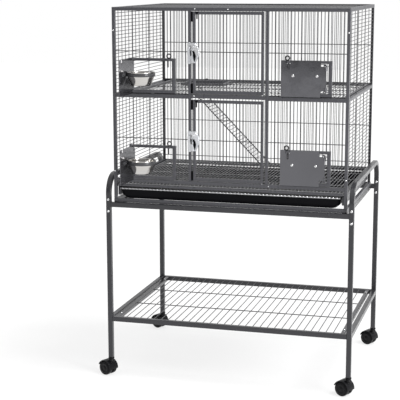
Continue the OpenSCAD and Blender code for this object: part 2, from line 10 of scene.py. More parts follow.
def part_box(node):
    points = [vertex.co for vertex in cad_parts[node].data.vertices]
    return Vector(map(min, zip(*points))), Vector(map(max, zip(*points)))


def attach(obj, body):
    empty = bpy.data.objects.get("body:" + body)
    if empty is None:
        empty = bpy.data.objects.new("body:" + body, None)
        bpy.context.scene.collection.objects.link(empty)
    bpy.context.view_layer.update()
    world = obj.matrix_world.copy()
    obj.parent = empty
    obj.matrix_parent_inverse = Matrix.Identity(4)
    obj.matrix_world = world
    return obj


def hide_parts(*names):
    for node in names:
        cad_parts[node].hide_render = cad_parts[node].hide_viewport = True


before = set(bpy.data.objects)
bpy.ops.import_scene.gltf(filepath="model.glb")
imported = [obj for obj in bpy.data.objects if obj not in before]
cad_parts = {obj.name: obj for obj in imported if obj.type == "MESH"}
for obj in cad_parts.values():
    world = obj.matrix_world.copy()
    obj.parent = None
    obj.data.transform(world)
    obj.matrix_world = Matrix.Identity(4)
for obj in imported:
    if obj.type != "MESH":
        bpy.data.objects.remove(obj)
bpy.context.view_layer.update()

# Cage coordinates in millimetres: x from the cage's middle, y from its front face,
# z from the floor. OX and OY carry them into the shared frame.
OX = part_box("base_frame")[0].x * 1000 + 406.5
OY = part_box("base_frame")[0].y * 1000
ZT = 1297.0
rng = random.Random(7)

HW, BAR, D = 406.5, 12.0, 571.0
IB, YB = HW - 11.0, D - 10.0
PITCH, WIRE, CROSS = 12.45, 2.2, 2.8
WELD = (WIRE + CROSS) / 2 * 0.78
CP, PW = 133.0, 9.4
Z_MID, Z_BOT, Z_BASE = ZT - 304, ZT - 597, ZT - 669
BACK_BOT = ZT - 612
LIFT = 296.0
FR_O, FR_I, FJ_O, FJ_I = 349.0, 337.0, 183.0, 194.5
LEG, LEG_X, LEG_Y0, LEG_Y1 = 17.0, 424.0, -5.7, 602.6
JOINT_Z = ZT - 685
ARCH_R, ARCH_TOP = 60.0, ZT - 579.5
ST0, ST1 = ZT - 686, ZT - 669
LOW = 217.0
HX, HY = 330.0, -3.8
RAIL_SCREWS = [(-114.0, ZT - 5.5), (0.0, ZT - 5.5), (-118.0, Z_MID + 10.2), (141.0, Z_BOT + 6)]
V = lambda *a: np.array(a, float)


def unit(v):
    v = np.asarray(v, float)
    return v / max(np.linalg.norm(v), 1e-12)


# ---------------------------------------------------------------- mesh building
class Shape:
    """Faces with a normal stated at each corner, in cage millimetres."""

    def __init__(self):
        self.v, self.f, self.n, self.m = [], [], [], 0

    def add(self, verts, faces, normals):
        base = self.m
        verts = np.asarray(verts, float)
        self.v.append(verts)
        self.m += len(verts)
        for f, n in zip(faces, normals):
            self.f.append([base + i for i in f])
            self.n.extend(n)

    def grid(self, P, N, close_u=False, close_v=False, flip=False):
        """A sheet of quads over P[i][j] with normals N[i][j]."""
        P, N = np.asarray(P, float), np.asarray(N, float)
        a, b = P.shape[:2]
        faces, normals = [], []
        Nf = N.reshape(-1, 3)
        for i in range(a if close_u else a - 1):
            for j in range(b if close_v else b - 1):
                q = [i * b + j, ((i + 1) % a) * b + j, ((i + 1) % a) * b + (j + 1) % b, i * b + (j + 1) % b]
                if flip:
                    q = q[::-1]
                faces.append(q)
                normals.append([Nf[k] for k in q])
        self.add(P.reshape(-1, 3), faces, normals)

    def fan(self, ring, normal):
        ring = [np.asarray(p, float) for p in ring]
        n = unit(normal)
        area = sum((np.cross(ring[i] - ring[0], ring[(i + 1) % len(ring)] - ring[0]) for i in range(len(ring))), V(0, 0, 0))
        if np.dot(area, n) < 0:
            ring = ring[::-1]
        self.add(ring, [list(range(len(ring)))], [[n] * len(ring)])

    def build(self, name, body, nodes, slot, mats, move=None):
        me = bpy.data.meshes.new(name)
        co = np.concatenate(self.v)
        nn = np.asarray(self.n, float)
        if move is not None:
            R, t = move
            co = co @ R.T + t
            nn = nn @ R.T
        co = (co + V(OX, OY, 0)) / 1000.0
        faces = self.f
        if move is not None and np.linalg.det(move[0]) < 0:
            faces, k, out = [], 0, []
            for f in self.f:
                faces.append(f[::-1])
                out.append(nn[k:k + len(f)][::-1])
                k += len(f)
            nn = np.concatenate(out)
        me.from_pydata(co.tolist(), [], faces)
        me.polygons.foreach_set("use_smooth", [True] * len(me.polygons))
        me.update()
        me.normals_split_custom_set([tuple(x) for x in nn])
        o = bpy.data.objects.new(name, me)
        bpy.context.scene.collection.objects.link(o)
        me.materials.append(mats)
        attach(o, body)
        if nodes:
            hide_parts(*nodes)
        return o


def tube(s, p, q, r=1.7, seg=3, axis=None, e=0.5):
    """A square tube between two opposite corners, with rounded edges and softened ends."""
    p, q = np.asarray(p, float), np.asarray(q, float)
    d = q - p
    ax = int(np.argmax(d)) if axis is None else axis
    u, w = [(1, 2), (2, 0), (0, 1)][ax]
    r = min(r, d[u] / 2 - 0.01, d[w] / 2 - 0.01)
    ring = []
    for k, (cu, cw) in enumerate([(q[u] - r, q[w] - r), (p[u] + r, q[w] - r), (p[u] + r, p[w] + r), (q[u] - r, p[w] + r)]):
        for i in range(seg + 1):
            a = math.pi / 2 * (k + i / seg)
            ring.append((cu, cw, math.cos(a), math.sin(a)))
    rows, norms = [], []
    e = min(e, d[ax] * 0.2)
    for t, inset, tilt in ((p[ax], e, -0.7), (p[ax] + e, 0, 0), (q[ax] - e, 0, 0), (q[ax], e, 0.7)):
        row, nrow = [], []
        for cu, cw, nu, nw in ring:
            x = V(0, 0, 0)
            x[ax], x[u], x[w] = t, cu + nu * (r - inset), cw + nw * (r - inset)
            n = V(0, 0, 0)
            n[ax], n[u], n[w] = tilt, nu, nw
            row.append(x)
            nrow.append(unit(n))
        rows.append(row)
        norms.append(nrow)
    s.grid(rows, norms, close_v=True, flip=True)
    n = V(0, 0, 0)
    n[ax] = 1
    s.fan(rows[0], -n)
    s.fan(rows[-1], n)


def frame_of(t):
    t = unit(t)
    a = V(0, 0, 1) if abs(t[2]) < 0.9 else V(1, 0, 0)
    x = unit(np.cross(a, t))
    return x, np.cross(t, x)


def pipe(s, pts, d, n=10, cap=True, closed=False):
    """A round wire along points."""
    pts = [np.asarray(p, float) for p in pts]
    m = len(pts)
    x, y = frame_of(pts[1] - pts[0])
    rows, norms = [], []
    for i, p in enumerate(pts):
        if closed:
            t = pts[(i + 1) % m] - pts[i - 1]
        else:
            t = pts[min(i + 1, m - 1)] - pts[max(i - 1, 0)]
        t = unit(t)
        x = unit(x - np.dot(x, t) * t)
        y = np.cross(t, x)
        row = [math.cos(2 * math.pi * k / n) * x + math.sin(2 * math.pi * k / n) * y for k in range(n)]
        norms.append(row)
        rows.append([p + r * d / 2 for r in row])
    s.grid(rows, norms, close_v=True, close_u=closed, flip=True)
    if cap and not closed:
        for i, j in ((0, 1), (-1, -2)):
            t = unit(pts[i] - pts[j])
            c = pts[i] + t * d * 0.12
            inner = [c + (r - pts[i]) * 0.6 for r in rows[i]]
            s.grid([rows[i], inner], [[unit(a + t) for a in norms[i]], [t] * n], close_v=True, flip=(i == -1))
            s.fan(inner, t)


def rod(s, a, b, d, n=10, bow=0.0):
    a, b = np.asarray(a, float), np.asarray(b, float)
    if bow:
        x, y = frame_of(b - a)
        k1, k2 = rng.uniform(-bow, bow), rng.uniform(-bow, bow) * 0.6
        pts = [a + (b - a) * t + x * math.sin(math.pi * t) * k1 + y * math.sin(2 * math.pi * t) * k2 for t in (0, 0.25, 0.5, 0.75, 1)]
    else:
        pts = [a, b]
    pipe(s, pts, d, n)


def lathe(s, prof, n, origin=(0, 0, 0), axis=(0, 0, 1), a0=0.0, a1=360.0, crease=38.0, xdir=None, caps=False):
    """Turns (radius, height) points about an axis. Corners sharper than crease stay sharp."""
    o, z = np.asarray(origin, float), unit(axis)
    if xdir is None:
        x, y = frame_of(z)
    else:
        x = unit(xdir)
        y = np.cross(z, x)
    full = abs(a1 - a0) > 359.9
    ang = [math.radians(a0 + (a1 - a0) * i / n) for i in range(n if full else n + 1)]
    seg = [(prof[i], prof[i + 1]) for i in range(len(prof) - 1)]
    sn = []
    for (r0, z0), (r1, z1) in seg:
        dr, dz = r1 - r0, z1 - z0
        l = math.hypot(dr, dz) or 1
        sn.append((dz / l, -dr / l))
    for i, ((r0, z0), (r1, z1)) in enumerate(seg):
        def corner(a, b):
            if a is None or b is None:
                return b or a
            return unit((a[0] + b[0], a[1] + b[1])) if a[0] * b[0] + a[1] * b[1] > math.cos(math.radians(crease)) else None
        n0 = corner(sn[i - 1], sn[i]) if i else None
        n1 = corner(sn[i], sn[i + 1]) if i + 1 < len(sn) else None
        n0 = sn[i] if n0 is None else n0
        n1 = sn[i] if n1 is None else n1
        rows, norms = [], []
        for r, h, nn in ((r0, z0, n0), (r1, z1, n1)):
            rows.append([o + (math.cos(a) * x + math.sin(a) * y) * r + z * h for a in ang])
            norms.append([unit((math.cos(a) * x + math.sin(a) * y) * nn[0] + z * nn[1]) for a in ang])
        if r0 < 1e-6:
            for k in range(len(ang) if full else len(ang) - 1):
                k2 = (k + 1) % len(ang)
                s.add([rows[0][0], rows[1][k], rows[1][k2]], [[0, 2, 1]], [[norms[0][k], norms[1][k2], norms[1][k]]])
        elif r1 < 1e-6:
            for k in range(len(ang) if full else len(ang) - 1):
                k2 = (k + 1) % len(ang)
                s.add([rows[0][k], rows[0][k2], rows[1][0]], [[0, 1, 2]], [[norms[0][k], norms[0][k2], norms[1][k]]])
        else:
            s.grid(rows, norms, close_v=full, flip=True)
    if caps and not full:
        for a, sg in ((ang[0], -1), (ang[-1], 1)):
            ring = [o + (math.cos(a) * x + math.sin(a) * y) * r + z * h for r, h in prof]
            nrm = sg * (-math.sin(a) * x + math.cos(a) * y)
            s.fan(ring, nrm)


def area2(pts):
    return sum(pts[i][0] * pts[(i + 1) % len(pts)][1] - pts[(i + 1) % len(pts)][0] * pts[i][1] for i in range(len(pts))) / 2


def offset(pts, d):
    """Moves an outline's sides inward by d (anticlockwise outlines)."""
    out, m = [], len(pts)
    for i in range(m):
        a, b, c = V(*pts[i - 1]), V(*pts[i]), V(*pts[(i + 1) % m])
        e1, e2 = unit(b - a), unit(c - b)
        n1, n2 = V(-e1[1], e1[0]), V(-e2[1], e2[0])
        k = 1 + np.dot(n1, n2)
        out.append(tuple(b + (n1 + n2) * (d / max(k, 0.35))))
    return out


def fillet(pts, r, seg=4):
    """Rounds an outline's corners. r is one radius or one per corner."""
    out, m = [], len(pts)
    for i in range(m):
        rr = r[i] if hasattr(r, "__len__") else r
        a, b, c = V(*pts[i - 1]), V(*pts[i]), V(*pts[(i + 1) % m])
        u, w = unit(a - b), unit(c - b)
        half = math.acos(max(-1, min(1, float(np.dot(u, w))))) / 2
        t = min(rr / max(math.tan(half), 1e-3), np.linalg.norm(a - b) * 0.45, np.linalg.norm(c - b) * 0.45)
        if rr <= 0 or half > 1.55:
            out.append(tuple(b))
            continue
        for k in range(seg + 1):
            s_ = k / seg
            out.append(tuple((1 - s_) ** 2 * (b + u * t) + 2 * s_ * (1 - s_) * b + s_ ** 2 * (b + w * t)))
    return out


def plate(s, outline, holes, c0, c1, bev=0.3, to3=None):
    """A sheet with bevelled rims: outline and holes in a plane, thickness from c0 to c1 along the normal.
    to3 maps (a, b, c) to space; by default a is x, b is z and c is y."""
    to3 = to3 or (lambda a, b, c: V(a, c, b))
    flipn = np.dot(np.cross(to3(1, 0, 0) - to3(0, 0, 0), to3(0, 1, 0) - to3(0, 0, 0)), to3(0, 0, 1) - to3(0, 0, 0)) < 0
    outline = list(outline) if area2(outline) > 0 else list(outline)[::-1]
    holes = [list(h) if area2(h) < 0 else list(h)[::-1] for h in holes]
    rings = [outline] + holes
    inset = [offset(r, bev) for r in rings]
    axis = unit(to3(0, 0, 1) - to3(0, 0, 0))
    for c, sg in ((c0, -1), (c1, 1)):
        flat = [p for r in inset for p in r]
        tris = tessellate_polygon([[Vector((p[0], p[1], 0)) for p in r] for r in inset])
        verts = [to3(p[0], p[1], c) for p in flat]
        n = axis * sg
        faces = []
        for t in tris:
            a, b, d = (verts[k] for k in t)
            if np.dot(np.cross(b - a, d - a), n) < 0:
                t = (t[0], t[2], t[1])
            faces.append(list(t))
        s.add(verts, faces, [[n] * 3 for _ in faces])
    for r, ri in zip(rings, inset):
        m = len(r)
        en = []
        for i in range(m):
            e = unit(V(*r[(i + 1) % m]) - V(*r[i]))
            en.append(V(e[1], -e[0]))
        def vn(i, j):
            """Normal of side i at its end j, shared over gentle corners."""
            o = en[(i + 1) % m] if j else en[i - 1]
            return unit(en[i] + o) if np.dot(en[i], o) > 0.8 else en[i]
        for i in range(m):
            k = (i + 1) % m
            a, b, ai, bi = r[i], r[k], ri[i], ri[k]
            na, nb = vn(i, 0), vn(i, 1)
            N = lambda n2, c: unit(to3(n2[0], n2[1], c) - to3(0, 0, 0))
            b0, b1 = c0 + bev, c1 - bev
            quads = [([to3(*a, b0), to3(*b, b0), to3(*b, b1), to3(*a, b1)], [N(na, 0), N(nb, 0), N(nb, 0), N(na, 0)]),
                     ([to3(*a, b1), to3(*b, b1), to3(*bi, c1), to3(*ai, c1)], [N(na, 0.3), N(nb, 0.3), N(nb, 1.2), N(na, 1.2)]),
                     ([to3(*ai, c0), to3(*bi, c0), to3(*b, b0), to3(*a, b0)], [N(na, -1.2), N(nb, -1.2), N(nb, -0.3), N(na, -0.3)])]
            for q, nn in quads:
                order = [3, 2, 1, 0] if flipn else [0, 1, 2, 3]
                s.add([q[x] for x in order], [[0, 1, 2, 3]], [[nn[x] for x in order]])


def bead(s, a, b, r=1.25, n=6):
    """A short rippled weld bead."""
    a, b = np.asarray(a, float), np.asarray(b, float)
    L = np.linalg.norm(b - a)
    m = max(4, int(L / 0.9))
    t = unit(b - a)
    x, y = frame_of(t)
    rows, norms = [], []
    for i in range(m + 1):
        k = i / m
        rr = r * (0.25 + 0.75 * min(1, 4 * k, 4 * (1 - k))) * (1 + 0.14 * math.sin(i * 2.4 + a[0])) * rng.uniform(0.94, 1.06)
        c = a + (b - a) * k
        dirs = [math.cos(2 * math.pi * j / n) * x + math.sin(2 * math.pi * j / n) * y for j in range(n)]
        rows.append([c + d * rr for d in dirs])
        norms.append(dirs)
    s.grid(rows, norms, close_v=True, flip=True)
    s.fan(rows[0], -t)
    s.fan(rows[-1], t)


def nub(s, c, n, r=1.35, h=0.9):
    """The squashed spot where two wires are welded."""
    c = np.asarray(c, float)
    x, y = frame_of(n)
    z = unit(n)
    rows, norms = [], []
    for i in range(1, 4):
        a = math.pi * i / 4
        ring = [math.sin(a) * (math.cos(b) * x + math.sin(b) * y) for b in (2 * math.pi * k / 6 for k in range(6))]
        rows.append([c + q * r + z * h * math.cos(a) for q in ring])
        norms.append([unit(q + z * math.cos(a)) for q in ring])
    s.grid(rows, norms, close_v=True)
    s.fan(rows[0], z)
    s.fan(rows[-1], -z)


def run(a, b, p):
    n = math.floor((b - a) / p)
    r = ((b - a) - (n - 1) * p) / 2
    return [a + r + i * p for i in range(n)]


# ---------------------------------------------------------------- materials
def mat(name, build):
    m = bpy.data.materials.new(name)
    m.use_nodes = True
    nt = m.node_tree
    bsdf = nt.nodes["Principled BSDF"]
    build(nt, bsdf)
    return m


def node(nt, kind, **kw):
    n = nt.nodes.new(kind)
    for k, v in kw.items():
        if k in n.inputs:
            n.inputs[k].default_value = v
        else:
            setattr(n, k, v)
    return n


def coords(nt, scale=(1, 1, 1)):
    tc = node(nt, "ShaderNodeTexCoord")
    mp = node(nt, "ShaderNodeMapping")
    mp.inputs["Scale"].default_value = scale
    nt.links.new(tc.outputs["Object"], mp.inputs["Vector"])
    return mp.outputs["Vector"]


def noise(nt, vec, scale, detail=3.0, rough=0.55):
    n = node(nt, "ShaderNodeTexNoise", Scale=scale, Detail=detail, Roughness=rough)
    nt.links.new(vec, n.inputs["Vector"])
    return n.outputs["Fac"]


def voro(nt, vec, scale, feature="SMOOTH_F1"):
    n = node(nt, "ShaderNodeTexVoronoi", feature=feature)
    n.inputs["Scale"].default_value = scale
    nt.links.new(vec, n.inputs["Vector"])
    return n.outputs["Distance"]


def ramp(nt, fac, stops):
    r = node(nt, "ShaderNodeValToRGB")
    e = r.color_ramp.elements
    while len(e) < len(stops):
        e.new(0.5)
    for el, (p, c) in zip(e, stops):
        el.position = p
        el.color = (*c, 1) if len(c) == 3 else c
    nt.links.new(fac, r.inputs["Fac"])
    return r.outputs["Color"]


def mix(nt, fac, a, b, blend="MIX"):
    n = node(nt, "ShaderNodeMix", data_type="RGBA", blend_type=blend)
    for sock, val in ((n.inputs[0], fac), (n.inputs[6], a), (n.inputs[7], b)):
        if hasattr(val, "is_linked") or hasattr(val, "links"):
            nt.links.new(val, sock)
        else:
            sock.default_value = val if not isinstance(val, tuple) else (*val, 1)
    return n.outputs[2]


def remap(nt, fac, a, b, c, d):
    n = node(nt, "ShaderNodeMapRange")
    n.inputs["From Min"].default_value, n.inputs["From Max"].default_value = a, b
    n.inputs["To Min"].default_value, n.inputs["To Max"].default_value = c, d
    nt.links.new(fac, n.inputs["Value"])
    return n.outputs["Result"]


def maths(nt, op, a, b):
    n = node(nt, "ShaderNodeMath", operation=op)
    for i, val in enumerate((a, b)):
        if hasattr(val, "links"):
            nt.links.new(val, n.inputs[i])
        else:
            n.inputs[i].default_value = val
    return n.outputs[0]


def bump(nt, bsdf, height, strength, distance, prev=None):
    b = node(nt, "ShaderNodeBump")
    b.inputs["Strength"].default_value = strength
    b.inputs["Distance"].default_value = distance
    nt.links.new(height, b.inputs["Height"])
    if prev is not None:
        nt.links.new(prev, b.inputs["Normal"])
    if bsdf is not None:
        nt.links.new(b.outputs["Normal"], bsdf.inputs["Normal"])
    return b.outputs["Normal"]


def paint(base, lift=1.5, rough=0.42, metal=0.35, bumps=0.35, grain=620.0, wear=0.0):
    """Hammertone coat: pebbled bump, metallic flecks, slow tone changes, rubbed and dusty places."""
    def build(nt, bsdf):
        v = coords(nt)
        big, fleck, cell = noise(nt, v, 5.0, 2.0), noise(nt, v, 1900.0, 2.0, 0.7), voro(nt, v, grain)
        c = ramp(nt, big, [(0.3, tuple(x * 0.93 for x in base)), (0.72, tuple(x * 1.07 for x in base))])
        c = mix(nt, remap(nt, fleck, 0.48, 0.74, 0.0, 0.55), c, tuple(min(1, x * lift) for x in base))
        rub = noise(nt, v, 34.0, 6.0, 0.62)
        c = mix(nt, remap(nt, rub, 0.60, 0.78, 0.0, 0.35), c, tuple(min(1, x * 1.35 + 0.01) for x in base))
        if wear:
            chip = noise(nt, v, 150.0, 4.0, 0.7)
            c = mix(nt, remap(nt, chip, 0.80, 0.815, 0.0, wear), c, (0.30, 0.30, 0.31))
        nt.links.new(c, bsdf.inputs["Base Color"])
        nt.links.new(remap(nt, rub, 0.35, 0.75, rough - 0.06, rough + 0.12), bsdf.inputs["Roughness"])
        bsdf.inputs["Metallic"].default_value = metal
        bsdf.inputs["Specular IOR Level"].default_value = 0.5
        p = bump(nt, None, cell, bumps, 0.0006)
        bump(nt, bsdf, noise(nt, v, 1100.0, 2.0), bumps * 0.5, 0.0003, p)
    return build


def metal(base, rough=0.28, tint=(1.0, 0.98, 0.94), stretch=(1, 1, 1), scale=240.0, b=0.08):
    """Bare or plated metal: tumbling or spinning marks, uneven tint and polish."""
    def build(nt, bsdf):
        v, vs = coords(nt), coords(nt, stretch)
        tone, marks, cloud = noise(nt, v, 28.0, 4.0), noise(nt, vs, scale, 5.0, 0.65), noise(nt, v, 90.0, 3.0)
        c = ramp(nt, tone, [(0.30, base), (0.74, tuple(x * y for x, y in zip(base, tint)))])
        c = mix(nt, remap(nt, marks, 0.4, 0.7, 0.0, 0.25), c, tuple(x * 0.72 for x in base))
        nt.links.new(c, bsdf.inputs["Base Color"])
        bsdf.inputs["Metallic"].default_value = 1.0
        nt.links.new(maths(nt, "ADD", remap(nt, marks, 0.3, 0.7, rough - 0.06, rough + 0.06), remap(nt, cloud, 0.3, 0.7, -0.03, 0.05)), bsdf.inputs["Roughness"])
        bump(nt, bsdf, marks, b, 0.0003)
    return build


def plastic(base, rough=0.45, grain=900.0, bumps=0.25, dust=0.05, spec=0.5):
    """Moulded plastic: fine grain, slight scuffs, a little dust."""
    def build(nt, bsdf):
        v = coords(nt)
        tone, scuff, cell = noise(nt, v, 14.0, 3.0), noise(nt, v, 60.0, 8.0, 0.7), voro(nt, v, grain)
        c = ramp(nt, tone, [(0.3, tuple(x * 0.85 for x in base)), (0.7, tuple(x * 1.2 for x in base))])
        c = mix(nt, remap(nt, scuff, 0.55, 0.75, 0.0, 1.0), c, tuple(x + dust for x in base))
        nt.links.new(c, bsdf.inputs["Base Color"])
        nt.links.new(remap(nt, scuff, 0.3, 0.75, rough - 0.08, rough + 0.14), bsdf.inputs["Roughness"])
        bsdf.inputs["Specular IOR Level"].default_value = spec
        p = bump(nt, None, cell, bumps, 0.0004)
        bump(nt, bsdf, scuff, bumps * 0.4, 0.0004, p)
    return build


M = {
    "frame_paint": mat("frame_paint", paint((0.062, 0.062, 0.070), rough=0.30, metal=0.15, wear=0.25)),
    # the back frame is the same paint as the front frame, made darker: painted shade for the rear, which stands less
    # lit
    "back_frame_painted_shade": mat("back_frame_painted_shade", paint((0.020, 0.020, 0.023), rough=0.34, metal=0.1, wear=0.2)),
    "stand_paint": mat("stand_paint", paint((0.030, 0.030, 0.034), rough=0.20, metal=0.15, wear=0.3)),
    "wire_paint": mat("wire_paint", paint((0.030, 0.030, 0.034), rough=0.34, metal=0.1, bumps=0.12, wear=0.2)),
    # the grate wires share the other wires' dark paint; this light silver copy is painted sheen for their glossy
    # highlights
    "grate_wire_painted_sheen": mat("grate_wire_painted_sheen", paint((0.42, 0.42, 0.43), rough=0.22, metal=0.8, bumps=0.05)),
    # the lip is black tray plastic; this light metallic grey is painted sheen for its glinting rim
    "tray_lip_painted_sheen": mat("tray_lip_painted_sheen", paint((0.42, 0.42, 0.43), lift=1.1, rough=0.16, metal=0.85, bumps=0.03)),
    "plate_paint": mat("plate_paint", paint((0.125, 0.125, 0.135), lift=1.1, rough=0.09, metal=0.85, bumps=0.02, grain=800.0)),
    "zinc_latch": mat("zinc_latch", metal((0.74, 0.76, 0.80), rough=0.36, tint=(1.04, 1.01, 0.96))),
    "ring_paint": mat("ring_paint", paint((0.060, 0.060, 0.064), rough=0.20, metal=0.2, bumps=0.06)),
    "gunmetal": mat("gunmetal", paint((0.010, 0.010, 0.012), rough=0.24, metal=0.0, bumps=0.08)),
    "stainless": mat("stainless", metal((0.58, 0.57, 0.56), rough=0.13, stretch=(0.6, 0.6, 30.0), scale=60.0, b=0.04)),
    "tray_plastic": mat("tray_plastic", plastic((0.003, 0.003, 0.004), rough=0.30, dust=0.003, spec=0.06)),
    "bolt_zinc": mat("bolt_zinc", metal((0.74, 0.75, 0.77), rough=0.22)),
    "caster_plastic": mat("caster_plastic", plastic((0.003, 0.003, 0.004), rough=0.30, grain=1300.0, dust=0.005, spec=0.18)),
    "wheel_plastic": mat("wheel_plastic", plastic((0.004, 0.004, 0.005), rough=0.34, grain=1500.0, dust=0.008, spec=0.18)),
    # near-black for the door stops, the piece on the doors' top rail and the latch inlays: painted shade for the dark
    # gaps there
    "black_stops_and_painted_shade": mat("black_stops_and_painted_shade", plastic((0.003, 0.003, 0.004), rough=0.4, grain=1500.0, dust=0.002, spec=0.05)),
}


def butt(s, x, y0, y1, z0, z1, side):
    """Weld beads above and below a rail that ends against an upright at x."""
    for z, k in ((z0, -1), (z1, 1)):
        bead(s, (x + side * 0.2, y0 + 1.4, z + k * 0.15), (x + side * 0.2, y1 - 1.4, z + k * 0.15))


# ---------------------------------------------------------------- cage frames
def jamb(s, k, lv):
    z0, z1 = ZT - 277 - lv, ZT - 179 - lv
    def T(p, q, **kw):
        a, b = sorted((k * p[0], k * q[0]))
        tube(s, (a, p[1], p[2]), (b, q[1], q[2]), **kw)
    T((FR_I, 0, z0), (FR_O, BAR, z1))
    T((FJ_O, 0, z0), (FJ_I, BAR, z1))
    T((FJ_O, 0, z1), (FR_O, BAR, z1 + 9))
    T((FJ_O, 0, z0 - 10), (FR_O, BAR, z0))
    for x, sd in ((FR_I, -1), (FJ_I, 1)):
        bead(s, (k * (x + sd * 0.2), 1.4, z1 - 0.1), (k * (x + sd * 0.2), BAR - 1.4, z1 - 0.1), 1.1)
        bead(s, (k * (x + sd * 0.2), 1.4, z0 + 0.1), (k * (x + sd * 0.2), BAR - 1.4, z0 + 0.1), 1.1)
    # hinge lugs: bent strip with a rounded nose, and the fixed pin
    for za, zp in ((z1 - 10, z1 - 22), (z0 + 4, z0 + 6)):
        out = [(k * x, y) for x, y in [(327.3, -6.8), (333, -6.9), (339, -3), (339, 3.8), (327.3, 3.8)]]
        if k < 0:
            out = out[::-1]
        plate(s, fillet(out, [2.6, 2.6, 1, 0.6, 0.6], 4), [], za + 0.1, za + 2.9, 0.4, lambda a, b, c: V(a, b, c))
        lathe(s, [(0, -0.6), (1.4, -0.6), (2.0, 0), (2.0, 13), (1.5, 13.6), (0, 13.6)], 20, (k * HX, HY, zp))
        lathe(s, [(2.0, 0), (3.1, 0), (3.1, 0.7), (2.4, 1.1), (0, 1.2)], 20, (k * HX, HY, za + 2.9 if zp < za else za + 2.9))
    # guide of the lift latch on the top bar
    gz = z1
    c = k * 206.0
    plate(s, fillet([(c - 5.9, -8.9), (c + 5.9, -8.9), (c + 5.9, 2.5), (c - 5.9, 2.5)], [2.2, 2.2, 0.5, 0.5], 4),
          [[(c + 2.6 * math.cos(a), -5.2 + 2.6 * math.sin(a)) for a in (2 * math.pi * i / 20 for i in range(20))]],
          gz + 0.6, gz + 7.4, 0.5, lambda a, b, c_: V(a, b, c_))


s = Shape()
for k in (-1, 1):
    a, b = sorted((k * IB, k * HW))
    tube(s, (a, 0, Z_BASE + 13), (b, BAR, ZT))
    a, b = sorted((k * (CP - PW / 2), k * (CP + PW / 2)))
    tube(s, (a, 0, Z_BOT + BAR), (b, BAR, ZT - BAR))
    a, b = sorted((k * (CP + PW / 2), k * IB))
    tube(s, (a, 0, Z_MID), (b, BAR, Z_MID + 13))
    butt(s, k * IB, 0, BAR, Z_MID, Z_MID + 13, -k)
    butt(s, k * (CP + PW / 2), 0, BAR, Z_MID, Z_MID + 13, k)
    butt(s, k * (CP - PW / 2), 0, BAR, Z_MID + 2.5, Z_MID + 15, -k)
    for x, sd in ((IB, -1), (CP + PW / 2, 1), (CP - PW / 2, -1)):
        bead(s, (k * (x + sd * 0.2), 1.4, ZT - BAR - 0.1), (k * (x + sd * 0.2), BAR - 1.4, ZT - BAR - 0.1))
        bead(s, (k * (x + sd * 0.2), 1.4, Z_BOT + BAR + 0.1), (k * (x + sd * 0.2), BAR - 1.4, Z_BOT + BAR + 0.1))
    jamb(s, k, 0)
    jamb(s, k, LIFT)
tube(s, (-IB, 0, ZT - BAR), (IB, BAR, ZT))
tube(s, (-CP + PW / 2, 0, Z_MID + 2.5), (CP - PW / 2, BAR, Z_MID + 15))
tube(s, (-IB, 0, Z_BOT), (IB, BAR, Z_BOT + BAR))
s.build("front_frame_tubes", "cage", ["front_frame"], "frame_paint", M["frame_paint"])

s = Shape()
for k in (-1, 1):
    a, b = sorted((k * IB, k * (HW - 1.5)))
    tube(s, (a, YB, Z_BASE + 13), (b, D, ZT))
    for z in (ZT - BAR, Z_MID + 18, Z_MID + 6, BACK_BOT + BAR, BACK_BOT):
        bead(s, (k * (IB - 0.2), YB + 1.4, z), (k * (IB - 0.2), D - 1.4, z))
tube(s, (-IB, YB, ZT - BAR), (IB, D, ZT))
tube(s, (-IB, YB, Z_MID + 6), (IB, D, Z_MID + 18))
tube(s, (-IB, YB, BACK_BOT), (IB, D, BACK_BOT + BAR))
# the back frame takes the darker copy of the frame paint: painted shade
s.build("back_frame_tubes", "cage", ["back_frame"], "frame_paint", M["back_frame_painted_shade"])

for k, nm in ((-1, "left"), (1, "right")):
    s = Shape()
    a, b = sorted((k * IB, k * HW))
    tube(s, (a, BAR + 0.1, ZT - BAR), (b, YB - 0.1, ZT))
    tube(s, (a, BAR + 0.1, Z_MID + 1), (b, YB - 0.1, Z_MID + 13))
    tube(s, (a, BAR + 0.1, BACK_BOT), (b, YB - 0.1, BACK_BOT + BAR))
    for y, sd in ((BAR + 0.1, 1), (YB - 0.1, -1)):
        for z in (ZT - BAR, Z_MID + 13, Z_MID + 1, BACK_BOT + BAR, BACK_BOT):
            bead(s, (a + 1.4, y + sd * 0.2, z), (b - 1.4, y + sd * 0.2, z))
    s.build(nm + "_frame_tubes", "cage", [nm + "_frame"], "frame_paint", M["frame_paint"])

s = Shape()
z1 = Z_BASE + 13
tube(s, (-HW, 0, Z_BASE), (HW, BAR, z1))
tube(s, (-HW, YB, Z_BASE), (HW, D, z1))
for k in (-1, 1):
    a, b = sorted((k * IB, k * HW))
    tube(s, (a, BAR, Z_BASE), (b, YB, z1))
    # folded runner: the tray's rim rests on its lower part and the grate on its upper edge
    for x0, za, zb, r in ((386.6, ZT - 646, ZT - 618.2, 1.6), (391, ZT - 619.4, ZT - 613.4, 0.6), (385, ZT - 615.6, ZT - 613.2, 0.9)):
        a, b = sorted((k * x0, k * IB))
        tube(s, (a, 14, za), (b, YB - 2, zb), r=r)
    for y, sd in ((BAR, 1), (YB, -1)):
        for z in (Z_BASE, z1):
            bead(s, (k * (IB + 1.4), y + sd * 0.2, z), (k * (HW - 1.4), y + sd * 0.2, z))
s.build("base_frame_tubes", "cage", ["base_frame"], "frame_paint", M["frame_paint"])


# ---------------------------------------------------------------- wires
def pane_x(s, xs, z0, z1, x0, x1, zs, y, sg=1, bow=0.3):
    for x in xs:
        rod(s, (x, y, z0 - 1.2), (x, y, z1 + 1.2), WIRE, 8, bow)
        for z in zs:
            nub(s, (x, y + sg * WELD / 2, z), (0, 1, 0))
    for z in zs:
        rod(s, (x0 - 1, y + sg * WELD, z), (x1 + 1, y + sg * WELD, z), CROSS, 8, 0.25)


